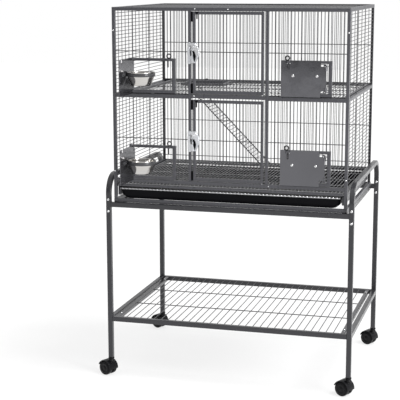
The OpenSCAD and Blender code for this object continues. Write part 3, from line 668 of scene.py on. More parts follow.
fx = run(CP + PW / 2, IB, PITCH)
s = Shape()
for k in (-1, 1):
    for lv in (0, LIFT):
        za, zb = (Z_MID + 13, ZT - BAR) if lv == 0 else (Z_BOT + BAR, Z_MID)
        zc = ZT - 147 - lv
        for sel, a, b, lo in (([x for x in fx if x < FJ_O - 2], CP + PW / 2, FJ_O, za),
                              ([x for x in fx if x > FR_O + 2], FR_O, IB, za),
                              ([min(max(x, FJ_O + 1.5), FR_O - 1.5) for x in fx if FJ_O - 2 <= x <= FR_O + 2], FJ_O, FR_O, ZT - 170 - lv)):
            xa, xb = sorted((k * a, k * b))
            pane_x(s, [k * x for x in sel], lo, zb, xa, xb, [zc], 5.0)
s.build("front_wires_round", "cage", ["front_wires"], "wire_paint", M["wire_paint"])

s = Shape()
bx = run(-IB, IB, PITCH)
pane_x(s, bx, Z_MID + 18, ZT - BAR, -IB, IB, [ZT - 147], YB + 5, -1)
pane_x(s, bx, BACK_BOT + BAR, Z_MID + 6, -IB, IB, [ZT - 443, ZT - 582], YB + 5, -1)
s.build("back_wires_round", "cage", ["back_wires"], "wire_paint", M["wire_paint"])

for k, nm in ((-1, "left"), (1, "right")):
    s = Shape()
    x = k * (HW - 5)
    ys = [D * 0.345, D * 0.665]
    for za, zb in ((Z_MID + 13, ZT - BAR), (BACK_BOT + BAR, Z_MID + 1)):
        for z in run(za, zb, PITCH):
            rod(s, (x, BAR - 0.8, z), (x, YB + 0.8, z), WIRE, 8, 0.35)
            for y in ys:
                nub(s, (x - k * WELD / 2, y, z), (1, 0, 0))
        for y in ys:
            rod(s, (x - k * WELD, y, za - 1), (x - k * WELD, y, zb + 1), CROSS, 8, 0.2)
    s.build(nm + "_wires_round", "cage", [nm + "_wires"], "wire_paint", M["wire_paint"])

s = Shape()
for x in run(-IB, IB, PITCH):
    rod(s, (x, BAR - 1, ZT - 4), (x, YB + 1, ZT - 4), WIRE, 8, 0.3)
    for y in (D / 3, D * 2 / 3):
        nub(s, (x, y, ZT - 4 - WELD / 2), (0, 0, 1))
for y in (D / 3, D * 2 / 3):
    rod(s, (-IB - 1, y, ZT - 4 - WELD), (IB + 1, y, ZT - 4 - WELD), CROSS, 8, 0.2)
s.build("roof_wires_round", "cage", ["roof_wires"], "wire_paint", M["wire_paint"])

# ---------------------------------------------------------------- main doors
DHW, ST = 121.3, 8.6
DX, DY = 117.0, 5.5
UD0, UD1, LD0, LD1 = ZT - 286, ZT - 13.2, ZT - 583, ZT - 307


def door(nm, z0, z1, zc, body):
    s = Shape()
    tube(s, (-DHW, 0, z0), (-DHW + ST, BAR - 1, z1))
    tube(s, (DHW - ST, 0, z0), (DHW, BAR - 1, z1))
    tube(s, (-DHW + ST, 0, z1 - 10), (DHW - ST, BAR - 1, z1))
    tube(s, (-DHW + ST, 0, z0), (DHW - ST, BAR - 1, z0 + 11))
    for x, sd in ((-DHW + ST, 1), (DHW - ST, -1)):
        for z in (z1 - 10.1, z0 + 11.1):
            bead(s, (x + sd * 0.2, 1.3, z), (x + sd * 0.2, BAR - 2.3, z), 1.15)
    s.build(nm + "_frame_tubes", body, [nm + "_frame"], "frame_paint", M["frame_paint"])
    w = Shape()
    i = DHW - ST
    p = 2 * i / 19
    pane_x(w, [-i + j * p for j in range(1, 19)], z0 + 11, z1 - 10, -i, i, [zc], 5.0)
    w.build(nm + "_wires_round", body, [nm + "_wires"], "wire_paint", M["wire_paint"])
    # strips that close the gap beside the latch stile, door stops whose near-black colour is painted shade of the gap,
    # and a black piece on the top rail that is painted shadow at the bar's left end
    c = Shape()
    for z in (z0, z1 - 34):
        plate(c, fillet([(-127.8, z + 0.3), (-121.2, z + 0.3), (-121.2, z + 33.7), (-127.8, z + 33.7)], [2.4, 0.4, 0.4, 2.4], 4), [], -0.5, 7.9, 0.7)
        for j in range(5):
            pipe(c, [V(-124.6, -0.55, z + 6 + j * 5.5), V(-121.6, -0.55, z + 6 + j * 5.5)], 0.9, 8)
    x = -108.0 if z1 > ZT - 100 else -110.5
    plate(c, fillet([(x, z1 - 25), (x + 4.6, z1 - 25), (x + 4.6, z1 - 5.4), (x + 8.4, z1 - 5.4), (x + 8.4, z1 - 1.4), (x - 3.2, z1 - 1.4), (x - 3.2, z1 - 5.4), (x, z1 - 5.4)],
                    [1.8, 1.8, 0.8, 1.2, 1.2, 1.2, 1.2, 0.8], 4), [], -1.9, -0.05, 0.45)
    c.build(nm + "_stops_and_painted_shade", body, [], "caster_plastic", M["black_stops_and_painted_shade"])


door("upper_door", UD0, UD1, ZT - 147, "upper_door")
door("lower_door", LD0, LD1, ZT - 444, "lower_door")

s = Shape()
for zr, ze in ((ZT - BAR, UD1), (Z_MID + 15, UD0), (Z_MID + 2.5, LD1), (Z_BOT + BAR, LD0)):
    # pivot pin with its collar between a rail and a door end
    k = 1 if ze > zr else -1
    h = abs(ze - zr) - 0.2
    lathe(s, [(0, -0.4), (3.0, -0.4), (3.4, 0), (3.4, h - 0.3), (3.1, h), (2.0, h), (2.0, h + 8.6), (1.4, h + 9.4), (0, h + 9.4)], 28, (DX, DY, zr), (0, 0, k))
s.build("door_pivot_pins", "cage", ["door_hinges"], "frame_paint", M["bolt_zinc"])

# ---------------------------------------------------------------- main latches
XZ = lambda lv: (lambda a, b, c: V(a, c, ZT - lv + b))
s = Shape()
for lv in (0, 297):
    T = XZ(lv)
    plate(s, fillet([(-138.6, -187), (-127.4, -187), (-127.4, -115), (-138.6, -115)], 3.2, 5), [], -2.9, -0.1, 0.5, T)
    plate(s, fillet([(-137, -154), (-129, -154), (-129, -139), (-137, -139)], 1.2, 4), [], -9.7, -2.4, 0.3, T)
    plate(s, fillet([(-137, -154), (-129, -154), (-129, -130.5), (-137, -130.5)], [1.2, 1.2, 3.4, 3.4], 5), [], -11.3, -9.4, 0.4, T)
    for z in (-121.5, -180.5):
        c = T(-133, z, -2.9)
        lathe(s, [(2.6, 0), (2.5, 0.7), (1.7, 1.25), (0, 1.4)], 22, c, (0, -1, 0))
        plate(s, [(-134.9, z - 0.35), (-131.1, z - 0.35), (-131.1, z + 0.35), (-134.9, z + 0.35)], [], -4.42, -4.2, 0.05, T)
s.build("latch_keeper_hooks", "cage", ["latch_keepers"], "zinc_latch", M["zinc_latch"])

LEVER = [(-137.5, -118), (-122, -116.5), (-110, -117.5), (-101, -126), (-96, -140), (-95.5, -156), (-101, -167), (-108, -179),
         (-110.5, -174), (-108, -160), (-110, -148), (-115.5, -139), (-122, -134.5), (-124.5, -125.5), (-137.5, -125.5)]
LR = [2, 12, 12, 12, 20, 12, 8, 1.2, 3, 14, 10, 6, 3, 2, 2]
for lv, nm in ((0, "upper"), (297, "lower")):
    T = XZ(lv)
    s = Shape()
    plate(s, fillet([(-125.2, -116), (-106, -116), (-106, -150), (-109, -184), (-125.2, -184)], [3, 3, 8, 4, 3], 5), [], -3.9, -0.1, 0.5, T)
    plate(s, fillet([(-125.2, -141), (-121.6, -141), (-119, -168), (-113, -184), (-125.2, -184)], [1.2, 1.6, 6, 2, 2], 5), [], -8.9, -3.4, 0.7, T)
    for z in (-121, -178.5):
        lathe(s, [(2.2, 0), (2.1, 0.6), (1.4, 1.05), (0, 1.2)], 20, T(-118 if z > -150 else -118.6, z, -3.9 if z > -150 else -8.9), (0, -1, 0))
    s.build(nm + "_latch_base", nm + "_door", [nm + "_latch_body"], "zinc_latch", M["zinc_latch"])
    # black sheets beside the catch and in the pocket next to the wing: painted shade standing in for the dark gaps
    # there
    s = Shape()
    plate(s, fillet([(-126.9, -159.5), (-122.4, -159.5), (-122.4, -141.5), (-126.9, -141.5)], 1.2, 4), [], -9.4, -8.7, 0.2, T)
    plate(s, fillet([(-121.0, -142), (-115.0, -144.5), (-111.3, -152), (-109.3, -161), (-111.8, -175), (-113.6, -180.5), (-118.2, -167)],
                    [1, 2, 3, 3, 1, 1, 3], 4), [], -4.5, -3.7, 0.2, T)
    s.build(nm + "_latch_painted_shade", nm + "_door", [], "caster_plastic", M["black_stops_and_painted_shade"])
    s = Shape()
    ol = fillet(LEVER, LR, 5)
    plate(s, ol, [], -8.5, -4.5, 1.0, T)
    # raised rib along the wing and the pivot's boss
    rib = [(-103.5, -128), (-99.3, -141), (-99, -154), (-104.5, -166), (-107, -171)]
    pts = [T(a, b, -8.5) for a, b in rib]
    pipe(s, pts, 2.2, 8)
    lathe(s, [(5.2, 0), (5.2, 1.0), (4.6, 1.6), (3.0, 1.75), (2.6, 1.2), (0, 1.2)], 32, T(-112, -127, -8.4), (0, -1, 0))
    lathe(s, [(3, 0), (3, 5.8), (0, 5.8)], 24, T(-112, -127, -6.4), (0, 1, 0))
    s.build(nm + "_latch_wing", nm + "_lever", [nm + "_latch_lever"], "zinc_latch", M["zinc_latch"])


# ---------------------------------------------------------------- feeders
def move_for(side):
    """Left feeders are mirrored and stand open by a quarter turn."""
    if side == "r":
        return None
    mir = np.diag([-1.0, 1.0, 1.0])
    a = math.radians(-90)
    R = np.array([[math.cos(a), -math.sin(a), 0], [math.sin(a), math.cos(a), 0], [0, 0, 1]])
    c = V(-HX, HY, 0)
    return R @ mir, c - R @ c


PY0, PY1 = -2.0, -0.8
RC, RCY = HX - 70.0, PY1 + 0.8 + 47.5
for lv, lt in ((0, "u"), (LIFT, "l")):
    for side in ("l", "r"):
        t = lt + side
        mv = move_for(side)
        s = Shape()
        z0, z1 = ZT - 289 - lv, ZT - 169 - lv
        fa, fb = ZT - 179 - lv, ZT - 277 - lv
        # corners cut clear of the bars at the hinge side, notches for the pins' lugs and for the latch's guide
        out = [(180, z0), (312, z0), (312, fb + 1.4), (331, fb + 1.4), (331, fb + 3.4), (325.4, fb + 3.4), (325.4, fb + 7.5), (331, fb + 7.5),
               (331, fa - 10.5), (325.4, fa - 10.5), (325.4, fa - 6.4), (331, fa - 6.4), (331, fa - 1), (312, fa - 1), (312, z1),
               (213.2, z1), (213.2, fa - 0.6), (198.8, fa - 0.6), (198.8, z1), (180, z1)]
        out = fillet(out, [2.2, 1.0, 0.5, 0.8, 0.5, 0.4, 0.4, 0.8, 0.8, 0.4, 0.4, 0.8, 0.8, 0.5, 1.0, 1.0, 0.6, 0.6, 1.0, 2.2], 3)
        holes = []
        for za, zb in ((fa - 9, fa - 3.4), (fb + 3.6, fb + 9.2)):
            holes.append(fillet([(312, za), (321.5, za), (321.5, zb), (312, zb)], 1.8, 4))
        plate(s, out, holes, PY0, PY1, 0.28)
        for z in (ZT - 201 - lv, ZT - 268.5 - lv):
            # rolled knuckle with its seam
            lathe(s, [(2.1, 0), (3.0, 0), (3.2, 0.2), (3.2, 11.3), (3.0, 11.5), (2.1, 11.5), (2.1, 0)], 28, (HX, HY, z), a0=55, a1=395, xdir=(0, 1, 0), caps=True)
        s.build("feeder_plate_" + t, "feeder_" + t, ["feeder_door_" + t], "plate_paint", M["plate_paint"], mv)
        # stud heads on the outside of the plate
        s = Shape()
        rz = ZT - 214 - 11 - lv
        for x in (RC - 40, RC + 40):
            lathe(s, [(4.5, 0), (4.5, 0.35), (3.9, 1.2), (2.2, 1.72), (1.1, 1.76), (1.0, 1.4), (0, 1.4)], 28, (x, PY0 - 0.02, rz + 5.5), (0, -1, 0))
        s.build("ring_stud_heads_" + t, "feeder_" + t, [], "bolt_zinc", M["bolt_zinc"], mv)
        s = Shape()
        lathe(s, [(46.0, 0.6), (46.3, 0.15), (47.0, 0), (47.5, 0.5), (47.5, 10.5), (47.0, 11), (46.3, 10.85), (46.0, 10.4), (46.0, 0.6)], 96, (RC, RCY, rz), crease=60)
        plate(s, fillet([(RC - 50, rz), (RC + 50, rz), (RC + 50, rz + 11), (RC - 50, rz + 11)], 3.0, 5), [], PY1 + 0.05, PY1 + 2.15, 0.4)
        for x in (RC - 40, RC + 40):
            lathe(s, [(4.0, 0), (4.0, 2.4), (0, 2.4)], 6, (x, PY1 + 2.1, rz + 5.5), (0, 1, 0), crease=10)
            lathe(s, [(2.0, 2.4), (2.0, 4.4), (1.6, 4.8), (0, 4.8)], 16, (x, PY1 + 2.1, rz + 5.5), (0, 1, 0))
        for x in (RC - 13, RC + 13):
            bead(s, (x, PY1 + 2.9, rz + 0.8), (x, PY1 + 2.9, rz + 10.2), 1.3)
        s.build("bowl_ring_band_" + t, "feeder_" + t, ["bowl_ring_" + t], "gunmetal", M["ring_paint"], mv)
        s = Shape()
        h = 45.0
        prof = [(0, 4.6 - h), (20, 4.5 - h), (27.5, 3.4 - h), (29.5, 3.0 - h), (31.6, 3.6 - h), (33.4, 5.6 - h), (36.2, 11 - h), (39.5, 19 - h), (42.6, 28 - h)]
        prof = [(r, z) for r, z in prof] + [(44.9, -11), (45.4, -3), (45.5, 0.1), (46.6, 0.1), (47.6, 0.5), (48.0, 1.5), (47.6, 2.5), (46.6, 2.95), (45.4, 2.9),
                                            (44.7, 1.8), (44.5, -3), (44.0, -11), (41.7, 28.4 - h), (38.6, 19.4 - h), (35.3, 11.6 - h), (32.2, 6.4 - h), (29.5, 4.6 - h), (24, 5.4 - h), (0, 5.6 - h)]
        lathe(s, prof, 96, (RC, RCY, ZT - 214 - lv + 0.15), crease=70)
        s.build("steel_bowl_" + t, "bowl_" + t, ["bowl_" + t], "stainless", M["stainless"], mv)
        # lift latch: a ring on an upright rod that hangs in front of the closed plate
        s = Shape()
        k = -1 if side == "l" else 1
        lx, ly = k * 206.0, -5.2
        c = V(lx - k * 3.5, ly, ZT - 161.9 - lv)
        loop = [c + V(7.0 * math.sin(a), 0, -7.0 * math.cos(a)) for a in (2 * math.pi * i / 32 for i in range(32))]
        pipe(s, loop, 4.5, 14, closed=True)
        lathe(s, [(0, -199.9), (1.5, -199.7), (2.3, -198.7), (2.48, -197.3), (2.48, -184.0), (2.2, -183.6), (2.2, -182.6), (2.48, -182.2),
                  (2.48, -168.9), (0, -168.2)], 24, (lx, ly, ZT - lv), crease=50)
        s.build("lift_latch_" + t, "feeder_latch_" + t, ["feeder_latch_" + t], "gunmetal", M["gunmetal"])

# ---------------------------------------------------------------- shelf and ramp
SX0, SX1, SY0, SY1 = -364, 392, 14, 557
SH0, SH1 = ZT - 298, ZT - 288
HX0, HX1, HY0, HY1 = -278, -130, 418, 539.5
s = Shape()
tube(s, (SX0, SY0, SH0), (SX1, SY0 + 10, SH1))
tube(s, (SX0, SY1 - 10, SH0), (SX1, SY1, SH1))
tube(s, (SX0, SY0 + 10, SH0), (SX0 + 10, SY1 - 10, SH1))
tube(s, (SX1 - 10, SY0 + 10, SH0), (SX1, SY1 - 10, SH1))
tube(s, (HX0 - 8, HY0 - 8, SH0), (HX1 + 8, HY0, SH1))
tube(s, (HX0 - 8, HY1, SH0 - 4), (HX1 + 8, SY1 - 10.1, SH1 - 1))
tube(s, (HX0 - 8, HY0, SH0), (HX0, HY1, SH1))
tube(s, (HX1, HY0, SH0), (HX1 + 8, HY1, SH1))
for x in (SX0 + 10, SX1 - 10):
    sd = 1 if x < 0 else -1
    for y in (SY0 + 10, SY1 - 10):
        bead(s, (x + sd * 0.2, y, SH0 + 1.2), (x + sd * 0.2, y, SH1 - 1.2), 1.1)
for x in (-266, 266):
    plate(s, fillet([(x - 5.9, 3.1), (x + 5.9, 3.1), (x + 5.9, SY0 + 2), (x - 5.9, SY0 + 2)], [2, 2, 0.3, 0.3], 4), [], ZT - 290.8, ZT - 288.7, 0.4, lambda a, b, c: V(a, b, c))
for i in (12, len(bx) - 14):
    x = (bx[i] + bx[i + 1]) / 2
    tube(s, (x - 2.9, SY1 - 4, ZT - 289), (x + 2.9, SY1 - 1, ZT - 283.5), r=0.6, axis=2)
    tube(s, (x - 2.9, SY1 - 4, ZT - 285.7), (x + 2.9, D + 2.5, ZT - 283.5), r=0.7, axis=1)
    tube(s, (x - 2.9, D + 0.3, ZT - 289), (x + 2.9, D + 2.5, ZT - 284), r=0.6, axis=2)
s.build("shelf_frame_tubes", "cage", ["shelf_frame"], "frame_paint", M["frame_paint"])

s = Shape()
sz = SH1 - 2
sxs = run(SX0 + 10, SX1 - 10, PITCH)
for x in sxs:
    hole = HX0 - 8.1 - 1.6 < x < HX1 + 8.1 + 1.6
    rod(s, (x, SY0 + 9, sz), (x, (HY0 - 7 if hole else SY1 - 9), sz), WIRE, 8, 0.3)
    for y in (150, 290) + (() if hole else (HY0 + 5, 535)):
        nub(s, (x, y, sz - WELD / 2), (0, 0, 1))
for y in (150, 290):
    rod(s, (SX0 + 9, y, sz - WELD), (SX1 - 9, y, sz - WELD), CROSS, 8, 0.2)
for y in (HY0 + 5, 535):
    rod(s, (SX0 + 9, y, sz - WELD), (HX0 - 7, y, sz - WELD), CROSS, 8)
    rod(s, (HX1 + 7, y, sz - WELD), (SX1 - 9, y, sz - WELD), CROSS, 8, 0.2)
s.build("shelf_wires_round", "cage", ["shelf_wires"], "wire_paint", M["wire_paint"])

RA = math.radians(45.5)
RL = (SH1 - 2 - (ZT - 597.4)) / math.sin(RA)
RY0, RY1 = 425, 532
rp = lambda t, y, h: V(HX0 + 6 + t * math.cos(RA) + h * math.sin(RA), y, SH1 - 2 - t * math.sin(RA) + h * math.cos(RA))
s = Shape()
for y in (RY0, RY1):
    rod(s, rp(0, y, 0), rp(RL, y, 0), 4.0, 14)
for t in run(0, RL, 13):
    rod(s, rp(t, RY0 - 1, 2.3), rp(t, RY1 + 1, 2.3), WIRE + 0.2, 10, 0.15)
    for y in (RY0, RY1):
        nub(s, rp(t, y, 1.4), rp(0, 0, 1) - rp(0, 0, 0), 1.5, 1.0)
s.build("ramp_ladder", "ramp", ["ramp"], "wire_paint", M["wire_paint"])

# ---------------------------------------------------------------- grate and tray
GZ0, GZ1, GX, GY0, GY1 = ZT - 613, ZT - 605, 392.2, 1.5, 555
s = Shape()
tube(s, (-GX, GY0, GZ0), (GX, GY0 + 8, GZ1), r=1.4)
tube(s, (-GX, GY1 - 8, GZ0), (GX, GY1, GZ1), r=1.4)
for k in (-1, 1):
    a, b = sorted((k * (GX - 8), k * GX))
    tube(s, (a, GY0 + 8, GZ0), (b, GY1 - 8, GZ1), r=1.4)
s.build("grate_frame_tubes", "grate", ["grate_frame"], "frame_paint", M["frame_paint"])
s = Shape()
gz = GZ1 + 3.6
for x in run(-GX + 4, GX - 4, PITCH):
    rod(s, (x, GY0 + 2, gz), (x, GY1 - 2, gz), 2.4, 8, 0.25)
    for y in (GY0 + 4, 145, 280, 415, GY1 - 4):
        nub(s, (x, y, gz - 1.1), (0, 0, 1), 1.5, 1.0)
for y in (GY0 + 4, 145, 280, 415, GY1 - 4):
    rod(s, (-GX + 3, y, gz - 2.0), (GX - 3, y, gz - 2.0), 2.8, 8, 0.15)
# the grate wires take the light silver copy of the wire paint: painted sheen
s.build("grate_wires_round", "grate", ["grate_wires"], "wire_paint", M["grate_wire_painted_sheen"])


def rrect(hx, y0, y1, r, z, seg=6):
    out = []
    for k, (cx, cy) in enumerate([(hx - r, y1 - r), (-hx + r, y1 - r), (-hx + r, y0 + r), (hx - r, y0 + r)]):
        for i in range(seg + 1):
            a = math.pi / 2 * (k + i / seg)
            out.append(V(cx + r * math.cos(a), cy + r * math.sin(a), z))
    return out


def loft(s, rings, crease=40.0):
    """Joins rings of equal count; each band's normals are its own across sharp bends."""
    m = len(rings)
    band = []
    for a, b in zip(rings, rings[1:]):
        row = []
        for i in range(len(a)):
            j, h = (i + 1) % len(a), i - 1
            tan = (a[j] - a[h]) + (b[j] - b[h])
            n = np.cross(tan, b[i] - a[i])
            row.append(unit(n) if np.linalg.norm(n) > 1e-9 else V(0, 0, 1))
        band.append(row)
    c = math.cos(math.radians(crease))
    for i, (a, b) in enumerate(zip(rings, rings[1:])):
        na, nb = [], []
        for j in range(len(a)):
            p = band[i - 1][j] if i else None
            q = band[i + 1][j] if i + 1 < len(band) else None
            na.append(unit(band[i][j] + p) if p is not None and np.dot(p, band[i][j]) > c else band[i][j])
            nb.append(unit(band[i][j] + q) if q is not None and np.dot(q, band[i][j]) > c else band[i][j])
        s.grid([a, b], [na, nb], close_v=True, flip=True)


s = Shape()
R = rrect
outer = [R(362, 14, 539, 16, ZT - 655.4), R(366, 10, 543, 17, ZT - 655.4), R(368.4, 9, 544, 18, ZT - 654.4), R(374.2, 7.4, 547, 18, ZT - 649.5),
         R(379.6, 5.8, 549.2, 18, ZT - 645.2), R(381.8, 4.8, 550.8, 18, ZT - 642), R(383.4, 4.3, 551.6, 18, ZT - 622), R(384, 3.9, 552, 18, ZT - 618.4),
         R(386, 3.0, 553.4, 10, ZT - 618.0), R(388.4, 2.6, 553.8, 9, ZT - 617.9), R(389, 2.4, 554, 8.5, ZT - 617.2), R(388.4, 2.7, 553.7, 9, ZT - 616.5),
         R(387, 3.4, 553, 10, ZT - 616.3), R(383.2, 5.6, 551.4, 17, ZT - 616.3), R(382, 6.6, 550.2, 17, ZT - 617), R(380.8, 6.9, 549.4, 17, ZT - 622),
         R(379.2, 7.4, 548.2, 17, ZT - 641), R(376.6, 9, 546.4, 17, ZT - 644), R(371, 11, 543.6, 16, ZT - 649), R(366, 13.6, 540, 14, ZT - 652.7),
         R(360, 18, 536, 12, ZT - 652.9)]
loft(s, outer)
s.fan(outer[0], (0, 0, -1))
s.fan(outer[-1], (0, 0, 1))
# shallow stiffening ribs pressed in the floor
for y in (120, 275, 430):
    pipe(s, [V(-330, y, ZT - 653.4), V(330, y, ZT - 653.4)], 3.6, 12)
s.build("tray_moulding", "tray", ["tray"], "tray_plastic", M["tray_plastic"])
# scalloped front lip, rolled down over the edge; its light metallic grey is painted sheen on the black plastic rim
s = Shape()
prof = [(6.4, -616.9, 0), (6.2, -616.3, 0), (5.6, -616.2, 0.25), (4.4, -617.6, 1.3), (2.4, -619.9, 1.35), (2.4, -620.6, 1.35), (2.5, -622.6, 1.3), (3.0, -623.5, 0.7), (4.8, -623.8, 0)]
xs = [-383.5 + i * 767.0 / 616 for i in range(617)]
rows = [[V(x, y + 0.0 + w * math.sin(2 * math.pi * x / PITCH), ZT + z) for x in xs] for y, z, w in prof]
nrm = []
for i, row in enumerate(rows):
    up, dn = rows[max(i - 1, 0)], rows[min(i + 1, len(rows) - 1)]
    nrm.append([unit(np.cross(row[min(j + 1, len(xs) - 1)] - row[max(j - 1, 0)], up[j] - dn[j])) for j in range(len(xs))])
s.grid(rows, nrm)
s.build("tray_front_lip", "tray", [], "tray_plastic", M["tray_lip_painted_sheen"])

# ---------------------------------------------------------------- stand
def sect(w, r, seg=3):
    out = []
    for k, (cu, cw) in enumerate([(w / 2 - r, w / 2 - r), (-w / 2 + r, w / 2 - r), (-w / 2 + r, -w / 2 + r), (w / 2 - r, -w / 2 + r)]):
        for i in range(seg + 1):
            a = math.pi / 2 * (k + i / seg)
            out.append((cu + r * math.cos(a), cw + r * math.sin(a), math.cos(a), math.sin(a)))
    return out


for k, nm in ((-1, "left"), (1, "right")):
    x = k * LEG_X
    path = [(V(x, LEG_Y0, JOINT_Z), V(0, 0, 1))]
    for i in range(17):
        a = math.pi / 2 * i / 16
        path.append((V(x, LEG_Y0 + ARCH_R - ARCH_R * math.cos(a), ARCH_TOP - ARCH_R + ARCH_R * math.sin(a)), V(0, math.sin(a), math.cos(a))))
    for i in range(17):
        a = math.pi / 2 * i / 16
        path.append((V(x, LEG_Y1 - ARCH_R + ARCH_R * math.sin(a), ARCH_TOP - ARCH_R + ARCH_R * math.cos(a)), V(0, math.cos(a), -math.sin(a))))
    path.append((V(x, LEG_Y1, JOINT_Z), V(0, 0, -1)))
    s = Shape()
    rows, norms = [], []
    for p, t in path:
        n1, n2 = V(1, 0, 0), np.cross(V(1, 0, 0), t)
        rows.append([p + n1 * u + n2 * w for u, w, _, _ in sect(LEG, 2.2)])
        norms.append([n1 * a + n2 * b for _, _, a, b in sect(LEG, 2.2)])
    s.grid(rows, norms, close_v=True, flip=False)
    s.fan(rows[0], (0, 0, -1))
    s.fan(rows[-1], (0, 0, -1))
    s.build(nm + "_arch_tube", "cage", [nm + "_arch"], "frame_paint", M["stand_paint"])

for t, x, y in (("fl", -LEG_X, LEG_Y0), ("fr", LEG_X, LEG_Y0), ("rl", -LEG_X, LEG_Y1), ("rr", LEG_X, LEG_Y1)):
    s = Shape()
    tube(s, (x - LEG / 2, y - LEG / 2, 67.0), (x + LEG / 2, y + LEG / 2, JOINT_Z - 0.2), r=2.2, e=0.5)
    sd = 1 if y < 100 else -1
    for z in (LOW, LOW - LEG):
        bead(s, (x - math.copysign(LEG / 2, x), y - 6, z), (x - math.copysign(LEG / 2, x), y + 6, z), 1.5)
        bead(s, (x - 6, y + sd * LEG / 2, z), (x + 6, y + sd * LEG / 2, z), 1.5)
    s.build("leg_tube_" + t, "cage", ["leg_" + t], "frame_paint", M["stand_paint"])

s = Shape()
for y in (LEG_Y0, LEG_Y1):
    tube(s, (-LEG_X + LEG / 2, y - LEG / 2, ST0), (LEG_X - LEG / 2, y + LEG / 2, ST1), r=2.2)
    for k in (-1, 1):
        for z in (ST0, ST1):
            bead(s, (k * (LEG_X - LEG / 2), y - 6, z), (k * (LEG_X - LEG / 2), y + 6, z), 1.5)
for k in (-1, 1):
    a, b = sorted((k * (HW - LEG), k * HW))
    tube(s, (a, LEG_Y0 + LEG / 2, ST0), (b, LEG_Y1 - LEG / 2, ST1), r=2.2)
    for y, sd in ((LEG_Y0 + LEG / 2, 1), (LEG_Y1 - LEG / 2, -1)):
        for z in (ST0, ST1 - 0.6):
            bead(s, (a + 1.6, y + sd * 0.2, z), (b - 1.6, y + sd * 0.2, z), 1.4)
s.build("stand_rail_tubes", "cage", ["stand_rails"], "frame_paint", M["stand_paint"])

s = Shape()
for y in (LEG_Y0, LEG_Y1):
    tube(s, (-LEG_X + LEG / 2, y - LEG / 2, LOW - LEG), (LEG_X - LEG / 2, y + LEG / 2, LOW), r=2.2)
for k in (-1, 1):
    a, b = sorted((k * (LEG_X - LEG / 2), k * (LEG_X + LEG / 2)))
    tube(s, (a, LEG_Y0 + LEG / 2, LOW - LEG), (b, LEG_Y1 - LEG / 2, LOW), r=2.2)
    a, b = sorted((k * (LEG_X - 31), k * (LEG_X - 17)))
    tube(s, (a, LEG_Y0 + LEG / 2, LOW - 14), (b, LEG_Y1 - LEG / 2, LOW - 1), r=1.8)
s.build("low_shelf_tubes", "cage", ["low_shelf_frame"], "frame_paint", M["stand_paint"])
s = Shape()
x1 = LEG_X - 31
for x in run(-x1, x1, 25.4):
    rod(s, (x, LEG_Y0 + LEG / 2 - 1, LOW - 2.2), (x, LEG_Y1 - LEG / 2 + 1, LOW - 2.2), 2.8, 10, 0.5)
    for y in (LEG_Y0 + 205, LEG_Y0 + 405):
        nub(s, (x, y, LOW - 3.4), (0, 0, 1), 1.8, 1.2)
for y in (LEG_Y0 + 205, LEG_Y0 + 405):
    rod(s, (-x1 - 1, y, LOW - 4.6), (x1 + 1, y, LOW - 4.6), 3.2, 10, 0.4)
s.build("low_shelf_wires_round", "cage", ["low_shelf_wires"], "wire_paint", M["wire_paint"])


def hexhead(s, c, axis, r=4.6):
    """A hex-flanged bolt head with a dished top."""
    lathe(s, [(r, 0), (r, 0.5), (r * 0.93, 0.95), (r * 0.72, 1.05)], 28, c, axis)
    lathe(s, [(r * 0.74, 0.95), (r * 0.74, 2.3), (r * 0.62, 2.62), (r * 0.34, 2.62), (r * 0.3, 2.35), (0, 2.3)], 6, c, axis, crease=12)


s = Shape()
for x in (-LEG_X, LEG_X):
    for y in (LEG_Y0 - LEG / 2, LEG_Y1 - LEG / 2):
        for z in (ZT - 660, ZT - 701):
            lathe(s, [(4.5, 0), (4.5, 0.5), (4.0, 1.5), (2.8, 2.2), (1.9, 2.4), (1.5, 1.7), (0, 1.7)], 32, (x, y - 0.02, z), (0, -1, 0))
for x in (-HW + 5, HW - 5):
    for z in (ZT - 78, ZT - 560):
        lathe(s, [(2.8, 0), (2.8, 0.35), (2.3, 1.1), (1.3, 1.55), (0.8, 1.0), (0, 1.0)], 24, (x, -0.02, z), (0, -1, 0))
for x, z in RAIL_SCREWS:
    lathe(s, [(2.3, 0), (2.3, 0.3), (1.9, 0.9), (1.1, 1.3), (0.7, 0.9), (0, 0.9)], 22, (x, -0.02, z), (0, -1, 0))
for x in (-LEG_X + 24, LEG_X - 24):
    for y in (42, LEG_Y1 - 48):
        lathe(s, [(3.2, 0), (3.2, 0.8), (2.9, 2.4), (1.9, 3.6), (0, 4.0)], 24, (x, y, LOW - 0.98))
s.build("bolt_heads", "cage", ["bolts"], "bolt_zinc", M["bolt_zinc"])

